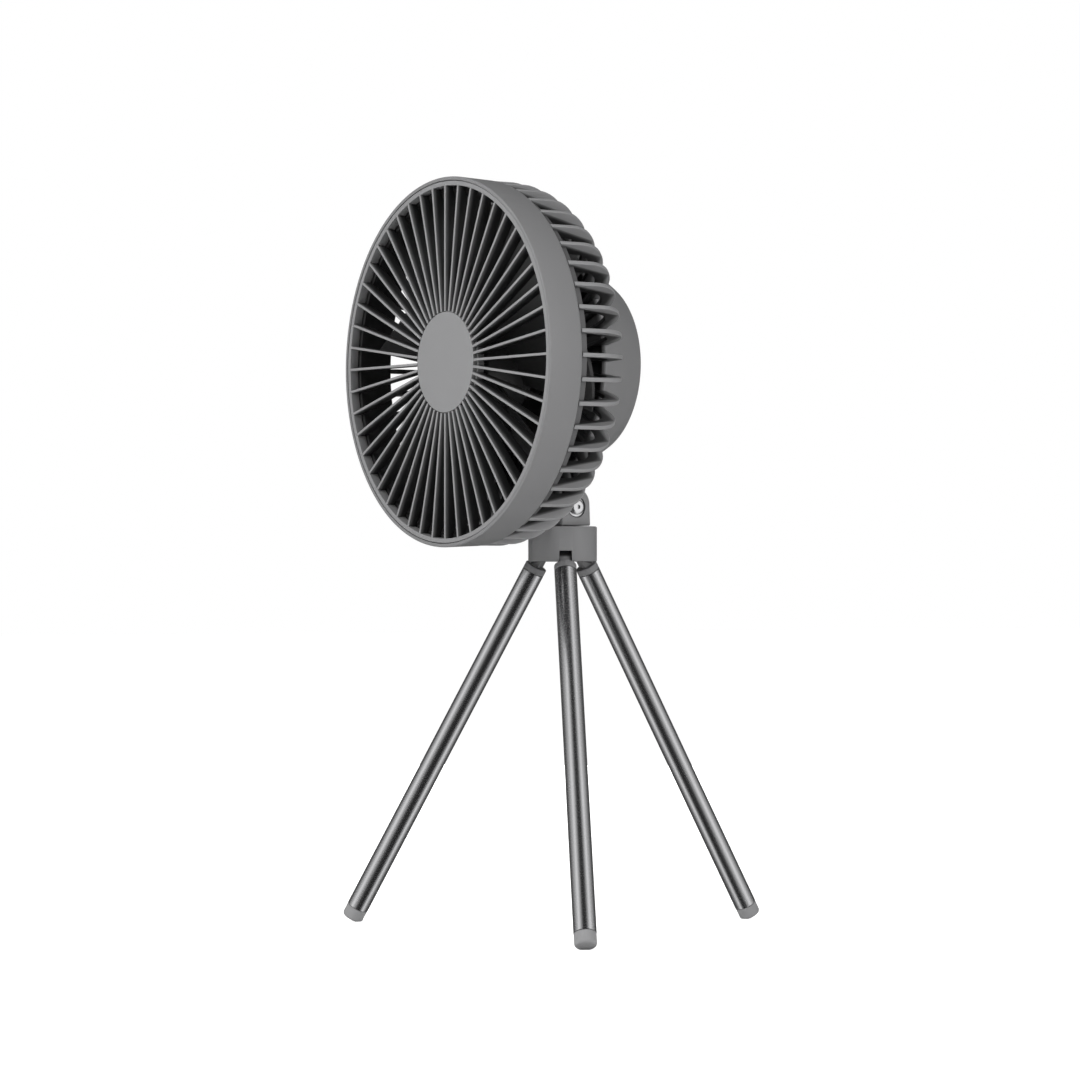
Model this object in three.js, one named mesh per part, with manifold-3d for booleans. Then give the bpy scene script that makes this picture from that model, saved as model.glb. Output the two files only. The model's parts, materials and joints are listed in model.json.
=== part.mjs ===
// Rechargeable table fan on a folding tripod: a round caged fan head that tilts on a neck, a neck that
// swivels on the tripod hub, and three tube legs that fold in under the hub.
//
// Millimetres, +Z up, the front of the fan faces -Y. The tripod axis is the vertical line x = 0, y = 0
// while the pieces are made; at the end the fan is moved so that its origin is the middle of its
// footprint, at floor level.
//
// Inside the head, +Y is the depth behind the front plane, so a profile turned about Y is a list of
// [radius, depth] points.

import * as THREE from 'three';
import { mergeVertices } from 'three/addons/utils/BufferGeometryUtils.js';
import Module from 'manifold-3d';

const wasm = await Module();
wasm.setup();

// ---------------------------------------------------------------- driving sizes

const GAP = 0.3;                 // between pieces that seat on each other
const RUN = 0.15;                // between a pin, shaft or screw and its hole, on the radius

// Head.
const HEAD_R = 90;               // outside of the bezel
const HEAD_FRONT = 70.4;         // front plane, ahead of the tripod axis
const HEAD_DEPTH = 87;           // front plane to the back of the rear cover

const BEZEL_DEPTH = 19;
const BEZEL_DRAFT = 0.8;         // the bezel is this much smaller in radius at its back edge
const BEZEL_LIP = 1.8;           // width of the bezel's front face
const BEZEL_WALL = 2.3;
const BEZEL_EDGE = 0.8;

const SPOKES = 48;               // in the front grille, and as many ribs in the rear cage
const SPOKE_BITE = 0.6;          // how far a spoke runs into the grille's rim
const SPOKE_THICK = 1.2;
const SPOKE_DEPTH = 6;
const GRILLE_SETBACK = 0.3;      // the grille's front face behind the bezel's
const GRILLE_RIM_WIDTH = 2.2;
const GRILLE_RIM_DEPTH = 4.8;
const CAP_R = 24.5;
const CAP_THICK = 2.2;
const CAP_STUD_R = 4.5;
const GRILLE_HUB_MARGIN = 1;     // the grille's hub is this much larger in radius than its cap

const CAGE_RING_WALL = 2.6;
const CAGE_RING_BACK = 23.5;
const RIB_THICK = 2;
const RIB_INSET = 1;             // ribs' outer edge inside the bezel's outside, where it leaves the bezel
const RIB_DEEP = 7.3;            // from a rib's outer edge to its inner edge
const RIB_BEND_START = 32.1;     // depth where the ribs start to bend inwards
const RIB_BEND_DEPTH = 21.6;     // the bend is a quarter of an ellipse, this deep
const RIB_TAIL = 3.95;           // straight run from the bend's end to the cover
const RIB_INNER_R = 46;          // inner end of a rib's foot on the plate
const PLATE_FRONT = 50.5;        // the cage's back plate
const PLATE_THICK = 2.5;
const PLATE_WIRE_HOLE_R = 4;
const SPIGOT_WALL = 2;
const SPIGOT_LENGTH = 4;

const COVER_ROOM = 15.226;       // from the cell tray's corners to the cover at the plate's front face
const COVER_TAPER = 17.8;        // the cover's radius shrinks by this much to its back
const COVER_BULGE = 1.05;        // how far the cone's side bows out at mid-length
const COVER_WALL = 2.2;
const COVER_EDGE = 1.5;

// Rotor and motor.
const BLADES = 7;
const BLADE_CLEARANCE = 5;       // blade tips to the inside of the cage's ring
const BLADE_ROOT_CHORD = 30;
const BLADE_TIP_CHORD = 58;
const BLADE_ROOT_PITCH = 40;     // degrees from the plane of rotation
const BLADE_TIP_PITCH = 23;
const BLADE_THICK = 2;
const BLADE_CAMBER = 0.09;       // height of the curved section over its chord
const HUB_CUP_R = 23;
const HUB_CUP_FRONT = 9;
const HUB_CUP_DEPTH = 29;
const HUB_CUP_WALL = 2;
const HUB_CUP_EDGE = 2;
const BELL_WALL = 1.4;
const BELL_DEPTH = 24;
const MAGNET_THICK = 1.6;
const MAGNET_DEPTH = 16;
const AIR_GAP = 0.6;
const STATOR_TEETH = 9;
const STATOR_DEPTH = 15;
const SHOE_HALF_WIDTH = 4.2;     // pole shoe at the end of each tooth
const SHOE_THICK = 1.8;
const TOOTH_HALF_WIDTH = 2.6;    // with its winding
const STATOR_SLEEVE_WALL = 2.4;
const SHAFT_R = 2;
const CLIP_WIDTH = 1.6;
const CLIP_THICK = 0.8;
const BEARING_WALL = 2.2;
const BEARING_DEPTH = 4;
const BEARING_TUBE_WALL = 1.4;
const FLANGE_R = 17;
const FLANGE_THICK = 3;
const MOTOR_SCREWS = 3;
const MOTOR_SCREW_CIRCLE = 12.5;
const MOTOR_SCREW_R = 1.4;
const MOTOR_SCREW_HEAD_R = 2.5;
const MOTOR_SCREW_HEAD_THICK = 1.5;

// Battery, board and controls.
const CELLS = 3;
const CELL_R = 9.2;
const CELL_LENGTH = 65;
const CELL_PITCH = 18.8;
const TERMINAL_R = 3;
const TERMINAL_LENGTH = 1;
const TRAY_WALL = 1.2;
const TRAY_HEIGHT = 13;
const COVER_POST_X = 14;
const COVER_POST_TO_TRAY = 2;
const COVER_POST_R = 3;
const COVER_SCREW_LENGTH = 12;
const COVER_SCREW_HEAD_R = 2.6;
const COVER_SCREW_HEAD_THICK = 1.6;
const BOARD_R = 33.5;
const BOARD_THICK = 1.6;
const BOARD_TO_WALL = 6;         // board to the inside of the rear wall
const BOARD_SCREW_X = 24;
const BOARD_SCREW_R = 1;
const BOARD_SCREW_HEAD_R = 1.9;
const BOARD_SCREW_HEAD_THICK = 1.1;
const BOARD_POST_R = 2.6;
const POWER_BUTTON_R = 8;
const MODE_BUTTON_R = 5.2;
const BUTTON_Z = 10;             // power button above the fan axis, mode button as far below it
const BUTTON_TRAVEL = 0.8;
const BUTTON_PROUD = 0.6;
const BUTTON_FLANGE = 1.2;
const BUTTON_FLANGE_THICK = 1.1;
const BUTTON_STEM_R = 2;
const BUTTON_EDGE = 0.6;
const SWITCH_SIZE = 6;
const SWITCH_HEIGHT = 2.5;
const LENS_WIDTH = 13.4;
const LENS_HEIGHT = 2;
const LENS_Z = 27;
const LENS_FLANGE = 0.8;
const LENS_FLANGE_THICK = 1.2;
const LENS_TO_BOARD = 2;
const USB_WIDTH = 8.9;
const USB_HEIGHT = 3.2;
const USB_DEPTH = 7.3;
const USB_Z = -27;
const USB_WALL = 0.35;
const USB_BACK_WALL = 1.5;
const USB_TONGUE_WIDTH = 6.6;
const USB_TONGUE_THICK = 0.7;

// Neck: a fork with two ears, and the lug under the rear cover that tilts between them.
const NECK_FLOOR_THICK = 1.75;   // under the lug
const EARS_TO_COVER = 7.963;     // top of the ears to the underside of the cover, head level
const EAR_OUT_X = 11.9;
const EAR_THICK = 5;
const EAR_HALF_WIDTH = 8.2;
const EAR_FOOT_HALF_WIDTH = 8.6;
const EAR_TOP = 9.4;             // above the tilt axis
const LUG_R = 7;
const LUG_FLANGE = 5;            // how much wider the lug's flange is, inside the cover
const LUG_FLANGE_THICK = 2;
const FRICTION_WASHER_THICK = 0.7;
const TILT_SCREW_R = 2;
const TILT_HEAD_R = 3.8;
const TILT_HEAD_THICK = 1.9;
const TILT_WASHER_R = 4.8;
const TILT_WASHER_THICK = 0.7;
const EAR_RECESS = 1.2;
const NUT_R = 4.05;              // over the nut's corners
const NUT_THICK = 3;
const NECK_SPIGOT_R = 6.5;
const SWIVEL_SCREW_R = 2;
const SWIVEL_HEAD_R = 3.6;
const SWIVEL_HEAD_THICK = 2.4;
const SWIVEL_WASHER_R = 8.4;
const SWIVEL_WASHER_THICK = 1.1;

// Tripod.
const HUB_R = 17;
const HUB_HEIGHT = 17.3;
const HUB_EDGE = 0.5;
const HUB_WALL = 2.1;            // round the base plate's recess
const HUB_SHELF_THICK = 7.8;     // the hub's top, down to the face the swivel washer bears on
const LEGS = 3;
const PIVOT_INSET = 6.8;         // leg pivots inside the hub's outside
const PIVOT_RISE = 5;            // and above the hub's underside
const LEG_TILT = 30.1;           // degrees from vertical, legs open
const LEG_LENGTH = 214;          // pivot to the end of the foot
const LEG_R = 5.5;
const TUBE_WALL = 0.9;
const COLLAR_TO_HUB = 0.364;     // the collar stops the leg against the hub's underside
const COLLAR_THICK = 3.2;
const COLLAR_EDGE = 0.4;
const PLUG_LENGTH = 13;
const TAB_WIDTH = 5.6;
const TAB_NOSE_R = 2.5;
const PIN_R = 1.1;
const PIN_HALF_LENGTH = 7.2;
const FOOT_LENGTH = 6.4;
const FOOT_EDGE = 1.5;
const FOOT_FLAT = 0.35;          // height taken off the foot's lowest edge, where it stands
const SLOT_HEIGHT = 5.2;         // leg's slot in the hub's wall, above the underside
const BASE_PLATE_THICK = 1.6;
const BASE_SCREW_INSET = 2.6;    // inside the base plate's edge
const BASE_SCREW_R = 0.9;
const BASE_SCREW_LENGTH = 6;
const BASE_SCREW_HEAD_R = 1.7;
const BASE_SCREW_HEAD_THICK = 0.8;

// ---------------------------------------------------------------- sizes that follow from these

const degrees = THREE.MathUtils.degToRad;

// Heights build up from the floor: a leg's reach, the hub on its pivots, the neck, then the head.
const legSin = Math.sin(degrees(LEG_TILT));
const legCos = Math.cos(degrees(LEG_TILT));
const footRound = FOOT_EDGE * (1 - Math.SQRT1_2);
const footReach = (LEG_LENGTH - footRound) * legCos + (LEG_R - footRound) * legSin;
const pivotZ = footReach - FOOT_FLAT;
const hubBottom = pivotZ - PIVOT_RISE;
const hubTop = hubBottom + HUB_HEIGHT;
const tiltZ = hubTop + NECK_FLOOR_THICK + LUG_R + 2 * GAP + RUN;

const pivotR = HUB_R - PIVOT_INSET;
const basePlateR = HUB_R - HUB_WALL - GAP;
const baseScrewCircle = basePlateR - BASE_SCREW_INSET;
const collarTop = PIVOT_INSET * legSin + PIVOT_RISE * legCos + COLLAR_TO_HUB;

// The cover is as wide as the tray of cells inside it needs.
const trayHalfX = CELL_LENGTH / 2 + TERMINAL_LENGTH + GAP + TRAY_WALL;
const trayHalfZ = (CELL_PITCH * (CELLS - 1)) / 2 + CELL_R + GAP + TRAY_WALL;
const coverFrontR = Math.hypot(trayHalfX, trayHalfZ) + COVER_ROOM;
const coverRearR = coverFrontR - COVER_TAPER;

// Outside radius of the rear cover at a depth.
function coverR(depth) {
  const u = (depth - PLATE_FRONT) / (HEAD_DEPTH - PLATE_FRONT);
  return coverFrontR - COVER_TAPER * u + 4 * COVER_BULGE * u * (1 - u);
}

const tiltDrop = coverR(HEAD_FRONT) + EARS_TO_COVER + EAR_TOP;
const fanAxisZ = tiltZ + tiltDrop;

// ---------------------------------------------------------------- materials

const material = (color, roughness, metalness) =>
  new THREE.MeshStandardMaterial({ color, roughness, metalness });

const shellGrey = material(0x86868a, 0.55, 0);
const capGrey = material(0x9a9a9c, 0.5, 0);
const cageGrey = material(0x808083, 0.55, 0);
const rotorBlack = material(0x2b2b2d, 0.45, 0);
const insideBlack = material(0x1d1d1f, 0.6, 0);
const gunmetal = material(0x77777b, 0.28, 1);
const steel = material(0xb9b9bc, 0.25, 1);
const ironGrey = material(0x55565a, 0.5, 1);
const copper = material(0xa5643a, 0.4, 1);
const boardGreen = material(0x1f5b3a, 0.6, 0);
const cellBlue = material(0x2f6fa8, 0.4, 0);
const rubberGrey = material(0x8f8f92, 0.8, 0);
const lensWhite = material(0xe8eef0, 0.2, 0);

// ---------------------------------------------------------------- geometry helpers

function toSolid(geometry) {
  const bare = geometry.clone();
  bare.deleteAttribute('normal');
  bare.deleteAttribute('uv');
  const merged = mergeVertices(bare, 1e-4);
  const corners = [];
  for (let i = 0; i < merged.index.count; i += 3) {
    const [a, b, c] = [0, 1, 2].map((k) => merged.index.getX(i + k));
    if (a !== b && b !== c && c !== a) {
      corners.push(a, b, c);
    }
  }
  return new wasm.Manifold(new wasm.Mesh({
    numProp: 3,
    vertProperties: new Float32Array(merged.attributes.position.array),
    triVerts: new Uint32Array(corners),
  }));
}

function toGeometry(solid) {
  const { vertProperties, triVerts } = solid.getMesh();
  const geometry = new THREE.BufferGeometry();
  geometry.setAttribute('position', new THREE.BufferAttribute(vertProperties, 3));
  geometry.setIndex(new THREE.BufferAttribute(triVerts, 1));
  return geometry;
}

const join = (...pieces) => toGeometry(pieces.map(toSolid).reduce((a, b) => a.add(b)));
const cut = (body, ...tools) =>
  toGeometry(tools.map(toSolid).reduce((a, b) => a.subtract(b), toSolid(body)));
const shared = (a, b) => toGeometry(toSolid(a).intersect(toSolid(b)));

// A profile of [radius, along] points turned about Y, drawn with its outside on the way up the axis.
function turned(profile, segments) {
  const points = profile.map(([r, along]) => new THREE.Vector2(r, along));
  const open = profile[0][0] === 0 && profile.at(-1)[0] === 0;
  if (!open) {
    points.push(points[0].clone());
  }
  return new THREE.LatheGeometry(points, segments);
}

const ring = (outer, inner, from, to, segments = 12) =>
  turned([[inner, from], [outer, from], [outer, to], [inner, to]], segments);

// A ring with one flat facet to each spoke or rib, which it meets at the facet's middle.
const spokedRing = (outer, inner, from, to) =>
  ring(outer, inner, from, to, SPOKES).rotateY(Math.PI / SPOKES);

const rod = (radius, from, to, segments = 12) =>
  new THREE.CylinderGeometry(radius, radius, to - from, segments).translate(0, (from + to) / 2, 0);

const block = (x0, x1, y0, y1, z0, z1) =>
  new THREE.BoxGeometry(x1 - x0, y1 - y0, z1 - z0).translate((x0 + x1) / 2, (y0 + y1) / 2, (z0 + z1) / 2);

const alongX = (geometry) => geometry.rotateZ(-Math.PI / 2);
const alongZ = (geometry) => geometry.rotateX(Math.PI / 2);
const downZ = (geometry) => geometry.rotateX(-Math.PI / 2);

// Copies turned round the Y axis, the first at angle 0, in degrees.
const aroundY = (geometry, count) =>
  Array.from({ length: count }, (_, i) => geometry.clone().rotateY(degrees((360 * i) / count)));

const aroundZ = (geometry, angles) => angles.map((angle) => geometry.clone().rotateZ(degrees(angle)));

// Points on a quarter ellipse, from its widest radius to its deepest point.
function bend(centreR, centreDepth, spanR, spanDepth, steps) {
  return Array.from({ length: steps + 1 }, (_, i) => {
    const angle = (Math.PI / 2) * (i / steps);
    return [centreR + spanR * Math.cos(angle), centreDepth + spanDepth * Math.sin(angle)];
  });
}

// A screw: its head's underside is at 0, its shank runs up the axis, its drive is a three-sided socket.
function screw(headR, headThick, shankR, length, segments = 8) {
  const body = turned([
    [0, -headThick], [headR, -headThick], [headR, 0], [shankR, 0], [shankR, length], [0, length],
  ], segments);
  return cut(body, rod(headR * 0.45, -headThick - 1, -headThick * 0.45, 3));
}

function piece(group, name, geometry, finish) {
  const mesh = new THREE.Mesh(toGeometry(toSolid(geometry)), finish);
  mesh.name = name;
  group.add(mesh);
  return mesh;
}

// ---------------------------------------------------------------- head: bezel and grille

const fan = new THREE.Group();
const head = new THREE.Group();
head.position.set(0, -HEAD_FRONT, fanAxisZ);
fan.add(head);

const bezelInnerR = HEAD_R - BEZEL_DRAFT - BEZEL_WALL;
const grillePocketR = HEAD_R - BEZEL_LIP;
const grilleBack = GRILLE_SETBACK + GRILLE_RIM_DEPTH;
const cageRingR = bezelInnerR - GAP;
const cageInnerR = cageRingR - CAGE_RING_WALL;

piece(head, 'front_bezel', turned([
  [grillePocketR, 0],
  [HEAD_R - BEZEL_EDGE, 0],
  [HEAD_R, BEZEL_EDGE],
  [HEAD_R - BEZEL_DRAFT, BEZEL_DEPTH - BEZEL_EDGE],
  [HEAD_R - BEZEL_DRAFT - BEZEL_EDGE, BEZEL_DEPTH],
  [bezelInnerR, BEZEL_DEPTH],
  [bezelInnerR, grilleBack + GAP],
  [grillePocketR, grilleBack + GAP],
], 72), shellGrey);

const rimOuterR = grillePocketR - GAP;
const capBack = GRILLE_SETBACK + CAP_THICK;
const grilleHubR = CAP_R + GRILLE_HUB_MARGIN;
const spokeBack = GRILLE_SETBACK + SPOKE_DEPTH;
const rimInnerR = rimOuterR - GRILLE_RIM_WIDTH;
// A spoke's back steps up at the rim, clear of the front of the cage.
const spokeShape = new THREE.Shape([
  [CAP_R + GAP, GRILLE_SETBACK],
  [rimInnerR + SPOKE_BITE, GRILLE_SETBACK],
  [rimInnerR + SPOKE_BITE, grilleBack],
  [cageInnerR - GAP, grilleBack],
  [cageInnerR - SPOKE_DEPTH / 2, spokeBack],
  [CAP_R + GAP, spokeBack],
].map(([r, depth]) => new THREE.Vector2(r, depth)));
const spoke = new THREE.ExtrudeGeometry(spokeShape, { depth: SPOKE_THICK, bevelEnabled: false })
  .translate(0, 0, -SPOKE_THICK / 2);
piece(head, 'front_grille', join(
  spokedRing(rimOuterR, rimInnerR, GRILLE_SETBACK, grilleBack),
  spokedRing(grilleHubR, CAP_STUD_R + GAP, capBack + GAP, spokeBack),
  ...aroundY(spoke, SPOKES),
), cageGrey);

const capEdge = CAP_THICK / 4;
piece(head, 'grille_cap', turned([
  [0, GRILLE_SETBACK],
  [CAP_R - capEdge, GRILLE_SETBACK],
  [CAP_R, GRILLE_SETBACK + capEdge],
  [CAP_R, capBack],
  [CAP_STUD_R, capBack],
  [CAP_STUD_R, spokeBack + GAP],
  [0, spokeBack + GAP],
], 48), capGrey);

// ---------------------------------------------------------------- head: rear cage and cover

const plateBack = PLATE_FRONT + PLATE_THICK;
const coverFront = plateBack + GAP;

const ribStart = BEZEL_DEPTH + GAP;
const ribOuterR = HEAD_R - RIB_INSET;
const ribTailR = coverR(plateBack) + 2 * GAP;
const bendR = ribTailR + RIB_TAIL;
const bendSpan = ribOuterR - bendR;
const ribOutline = [
  [cageInnerR + CAGE_RING_WALL / 2, ribStart],
  [ribOuterR, ribStart],
  ...bend(bendR, RIB_BEND_START, bendSpan, RIB_BEND_DEPTH, 3),
  [ribTailR, RIB_BEND_START + RIB_BEND_DEPTH + 1],
  [ribTailR, plateBack - PLATE_THICK / 2],
  [RIB_INNER_R, plateBack - PLATE_THICK / 2],
  [RIB_INNER_R, PLATE_FRONT - RIB_DEEP / 4],
  ...bend(bendR, RIB_BEND_START, bendSpan - RIB_DEEP, RIB_BEND_DEPTH - RIB_DEEP, 2).reverse(),
  [ribOuterR - RIB_DEEP, CAGE_RING_BACK + RIB_DEEP / 3],
  [cageInnerR + CAGE_RING_WALL / 4, CAGE_RING_BACK - 1],
];
const ribShape = new THREE.Shape(ribOutline.map(([r, depth]) => new THREE.Vector2(r, depth)));
const rib = new THREE.ExtrudeGeometry(ribShape, { depth: RIB_THICK, bevelEnabled: false })
  .translate(0, 0, -RIB_THICK / 2);
const spigotR = coverR(coverFront + SPIGOT_LENGTH) - COVER_WALL - GAP;
const coverPostZ = trayHalfZ + COVER_POST_TO_TRAY + COVER_POST_R;
const coverPosts = [[1, 1], [-1, 1], [-1, -1], [1, -1]].map(([x, z]) => [x * COVER_POST_X, z * coverPostZ]);
const coverScrewR = COVER_POST_R / 2 - RUN;
const screwHole = (radius, x, z) => rod(radius + RUN, PLATE_FRONT - 1, plateBack + 1, 12).translate(x, 0, z);
const motorHoles = aroundY(screwHole(MOTOR_SCREW_R, MOTOR_SCREW_CIRCLE, 0), MOTOR_SCREWS);

piece(head, 'rear_cage', cut(
  join(
    spokedRing(cageRingR, cageInnerR, grilleBack + GAP, CAGE_RING_BACK),
    spokedRing(coverR(PLATE_FRONT), PLATE_WIRE_HOLE_R, PLATE_FRONT, plateBack),
    ring(spigotR, spigotR - SPIGOT_WALL, plateBack - PLATE_THICK / 2, plateBack + SPIGOT_LENGTH, 32),
    ...aroundY(rib, SPOKES),
  ),
  ...coverPosts.map(([x, z]) => screwHole(coverScrewR, x, z)),
  ...motorHoles,
), cageGrey);

const rearWall = HEAD_DEPTH - COVER_WALL;
const boardBack = rearWall - BOARD_TO_WALL;
const coverSteps = 4;
const coverProfile = (inset, last) => Array.from({ length: coverSteps + 1 }, (_, i) => {
  const depth = coverFront + ((last - coverFront) * i) / coverSteps;
  return [coverR(depth) - inset, depth];
});
// The cover's outside, grown by a clearance.
const coverOutside = (grow) => turned([
  [0, coverFront],
  ...coverProfile(-grow, HEAD_DEPTH - COVER_EDGE),
  [coverRearR - COVER_EDGE + grow, HEAD_DEPTH],
  [0, HEAD_DEPTH],
], 48);
// The room inside the cover, shrunk by a clearance.
const coverInside = (shrink) => turned([
  [0, coverFront - 1],
  [coverR(coverFront) - COVER_WALL - shrink, coverFront - 1],
  ...coverProfile(COVER_WALL + shrink, rearWall),
  [0, rearWall],
], 48);
const lugHalf = EAR_OUT_X - EAR_THICK - FRICTION_WASHER_THICK - 2 * RUN;
// A block about the lug's stem, from the tilt axis up into the cover.
const lugBlock = (margin) => block(
  -lugHalf - margin, lugHalf + margin,
  HEAD_FRONT - LUG_R - margin, HEAD_FRONT + LUG_R + margin,
  -tiltDrop, -coverRearR + COVER_TAPER / 2,
);
const lugHole = alongX(rod(TILT_SCREW_R + RUN, -EAR_OUT_X, EAR_OUT_X)).translate(0, HEAD_FRONT, -tiltDrop);
const wallHole = (radius, z) => rod(radius, rearWall - 1, HEAD_DEPTH + 1).translate(0, 0, z);
const wallSlot = (width, height, z) =>
  block(-width / 2, width / 2, rearWall - 1, HEAD_DEPTH + 1, z - height / 2, z + height / 2);

piece(head, 'rear_cover', cut(
  join(
    cut(coverOutside(0), coverInside(0)),
    ...coverPosts.map(([x, z]) => rod(COVER_POST_R, coverFront, rearWall + 1, 16).translate(x, 0, z)),
    ...[-1, 1].map((side) =>
      rod(BOARD_POST_R, boardBack + GAP, rearWall + 1, 16).translate(side * BOARD_SCREW_X, 0, 0)),
  ),
  lugBlock(GAP),
  wallHole(POWER_BUTTON_R + GAP, BUTTON_Z),
  wallHole(MODE_BUTTON_R + GAP, -BUTTON_Z),
  wallSlot(LENS_WIDTH + 2 * GAP, LENS_HEIGHT + 2 * GAP, LENS_Z),
  wallSlot(USB_WIDTH + 2 * GAP, USB_HEIGHT + 2 * GAP, USB_Z),
  ...coverPosts.map(([x, z]) =>
    rod(coverScrewR + RUN, coverFront - 1, plateBack + COVER_SCREW_LENGTH, 12).translate(x, 0, z)),
  ...[-1, 1].map((side) =>
    rod(BOARD_SCREW_R + RUN, boardBack, rearWall, 12).translate(side * BOARD_SCREW_X, 0, 0)),
), shellGrey);

// The lug goes out through the cover from inside, and a curved flange holds it there.
const lugFlange = shared(lugBlock(LUG_FLANGE), cut(coverInside(GAP), coverInside(GAP + LUG_FLANGE_THICK)));
const lugStem = cut(lugBlock(0), coverInside(GAP + LUG_FLANGE_THICK));
piece(head, 'tilt_lug', cut(
  join(alongX(rod(LUG_R, -lugHalf, lugHalf, 24)).translate(0, HEAD_FRONT, -tiltDrop), lugStem, lugFlange),
  lugHole,
), shellGrey);

coverPosts.forEach(([x, z], i) => {
  const fastener = screw(COVER_SCREW_HEAD_R, COVER_SCREW_HEAD_THICK, coverScrewR, COVER_SCREW_LENGTH);
  piece(head, `cover_screw_${i + 1}`, fastener, steel).position.set(x, PLATE_FRONT - GAP, z);
});

// ---------------------------------------------------------------- rotor

const rotor = new THREE.Group();
head.add(rotor);

// One blade: a thin lens section extruded outwards, then scaled, cambered, twisted and wrapped round the
// hub. Its back edge leads, so the rotor blows forwards when it turns right-handed about +Y.
function blade() {
  const rootR = HUB_CUP_R - HUB_CUP_WALL / 2;
  const span = cageInnerR - BLADE_CLEARANCE - rootR;
  const middle = HUB_CUP_FRONT + HUB_CUP_DEPTH / 2;
  const section = new THREE.Shape();
  section.absellipse(0, 0, 0.5, 0.5, 0, 2 * Math.PI, false);
  const geometry = new THREE.ExtrudeGeometry(section, {
    depth: span, steps: 4, curveSegments: 5, bevelEnabled: false,
  });
  const position = geometry.attributes.position;
  for (let i = 0; i < position.count; i += 1) {
    const [u, half, out] = [position.getX(i), position.getY(i), position.getZ(i)];
    const share = out / span;
    const chord = THREE.MathUtils.lerp(BLADE_ROOT_CHORD, BLADE_TIP_CHORD, share);
    const pitch = degrees(THREE.MathUtils.lerp(BLADE_ROOT_PITCH, BLADE_TIP_PITCH, share));
    const along = u * chord;
    const off = half * BLADE_THICK + BLADE_CAMBER * chord * (1 - 4 * u * u);
    const radius = rootR + out;
    const around = (along * Math.cos(pitch) - off * Math.sin(pitch)) / radius;
    const depth = middle + along * Math.sin(pitch) + off * Math.cos(pitch);
    position.setXYZ(i, radius * Math.cos(around), depth, -radius * Math.sin(around));
  }
  return geometry;
}

const hubCupBack = HUB_CUP_FRONT + HUB_CUP_DEPTH;
const hubCupInnerR = HUB_CUP_R - HUB_CUP_WALL;
piece(rotor, 'impeller', cut(
  join(
    turned([
      [0, HUB_CUP_FRONT],
      [HUB_CUP_R - HUB_CUP_EDGE, HUB_CUP_FRONT],
      [HUB_CUP_R, HUB_CUP_FRONT + HUB_CUP_EDGE],
      [HUB_CUP_R, hubCupBack],
      [0, hubCupBack],
    ], 28),
    ...aroundY(blade(), BLADES),
  ),
  rod(hubCupInnerR, HUB_CUP_FRONT + HUB_CUP_WALL, hubCupBack + 1, 28),
), rotorBlack);

const bellFront = HUB_CUP_FRONT + HUB_CUP_WALL + GAP;
const bellR = hubCupInnerR - GAP;
const bellInnerR = bellR - BELL_WALL;
piece(rotor, 'rotor_bell', turned([
  [SHAFT_R + RUN, bellFront],
  [bellR, bellFront],
  [bellR, bellFront + BELL_DEPTH],
  [bellInnerR, bellFront + BELL_DEPTH],
  [bellInnerR, bellFront + BELL_WALL],
  [SHAFT_R + RUN, bellFront + BELL_WALL],
], 24), ironGrey);

const magnetR = bellInnerR - RUN;
const magnetFront = bellFront + BELL_DEPTH - MAGNET_DEPTH - 1;
piece(rotor, 'magnet_ring', ring(
  magnetR, magnetR - MAGNET_THICK, magnetFront, magnetFront + MAGNET_DEPTH, 24,
), insideBlack);

const flangeFront = PLATE_FRONT - GAP - FLANGE_THICK;
const rearBearingBack = flangeFront;
const shaftBack = rearBearingBack + CLIP_THICK + 2 * GAP;
piece(rotor, 'motor_shaft', rod(SHAFT_R, bellFront, shaftBack, 20), steel);
piece(rotor, 'shaft_clip', ring(
  SHAFT_R + CLIP_WIDTH, SHAFT_R + RUN, rearBearingBack + GAP, rearBearingBack + GAP + CLIP_THICK, 16,
), steel);

// ---------------------------------------------------------------- motor mount, stator and bearings

const bearingR = SHAFT_R + RUN + BEARING_WALL;
const tubeBoreR = bearingR + RUN;
const bearingTubeR = tubeBoreR + BEARING_TUBE_WALL;
const bearingTubeFront = bellFront + BELL_WALL + 2 * GAP;
const flangeScrewHole = rod(MOTOR_SCREW_R + RUN, flangeFront - 1, PLATE_FRONT, 12)
  .translate(MOTOR_SCREW_CIRCLE, 0, 0);
piece(head, 'motor_mount', cut(
  turned([
    [tubeBoreR, bearingTubeFront],
    [bearingTubeR, bearingTubeFront],
    [bearingTubeR, flangeFront],
    [FLANGE_R, flangeFront],
    [FLANGE_R, flangeFront + FLANGE_THICK],
    [tubeBoreR, flangeFront + FLANGE_THICK],
  ], 20),
  ...aroundY(flangeScrewHole, MOTOR_SCREWS),
), ironGrey);

const statorR = magnetR - MAGNET_THICK - AIR_GAP;
const statorInnerR = bearingTubeR + RUN;
const statorFront = magnetFront + (MAGNET_DEPTH - STATOR_DEPTH) / 2;
const statorBack = statorFront + STATOR_DEPTH;
// Laminated core: wound teeth round a sleeve, each ending in a pole shoe.
const shoeR = Math.sqrt(statorR ** 2 - SHOE_HALF_WIDTH ** 2);
const tooth = block(
  statorInnerR + STATOR_SLEEVE_WALL / 2, shoeR - SHOE_THICK / 2,
  statorFront + 1, statorBack - 1,
  -TOOTH_HALF_WIDTH, TOOTH_HALF_WIDTH,
);
const shoe = block(shoeR - SHOE_THICK, shoeR, statorFront, statorBack, -SHOE_HALF_WIDTH, SHOE_HALF_WIDTH);
piece(head, 'stator', join(
  ring(statorInnerR + STATOR_SLEEVE_WALL, statorInnerR, statorFront, statorBack, 18),
  ...aroundY(tooth, STATOR_TEETH),
  ...aroundY(shoe, STATOR_TEETH),
), copper);

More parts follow.
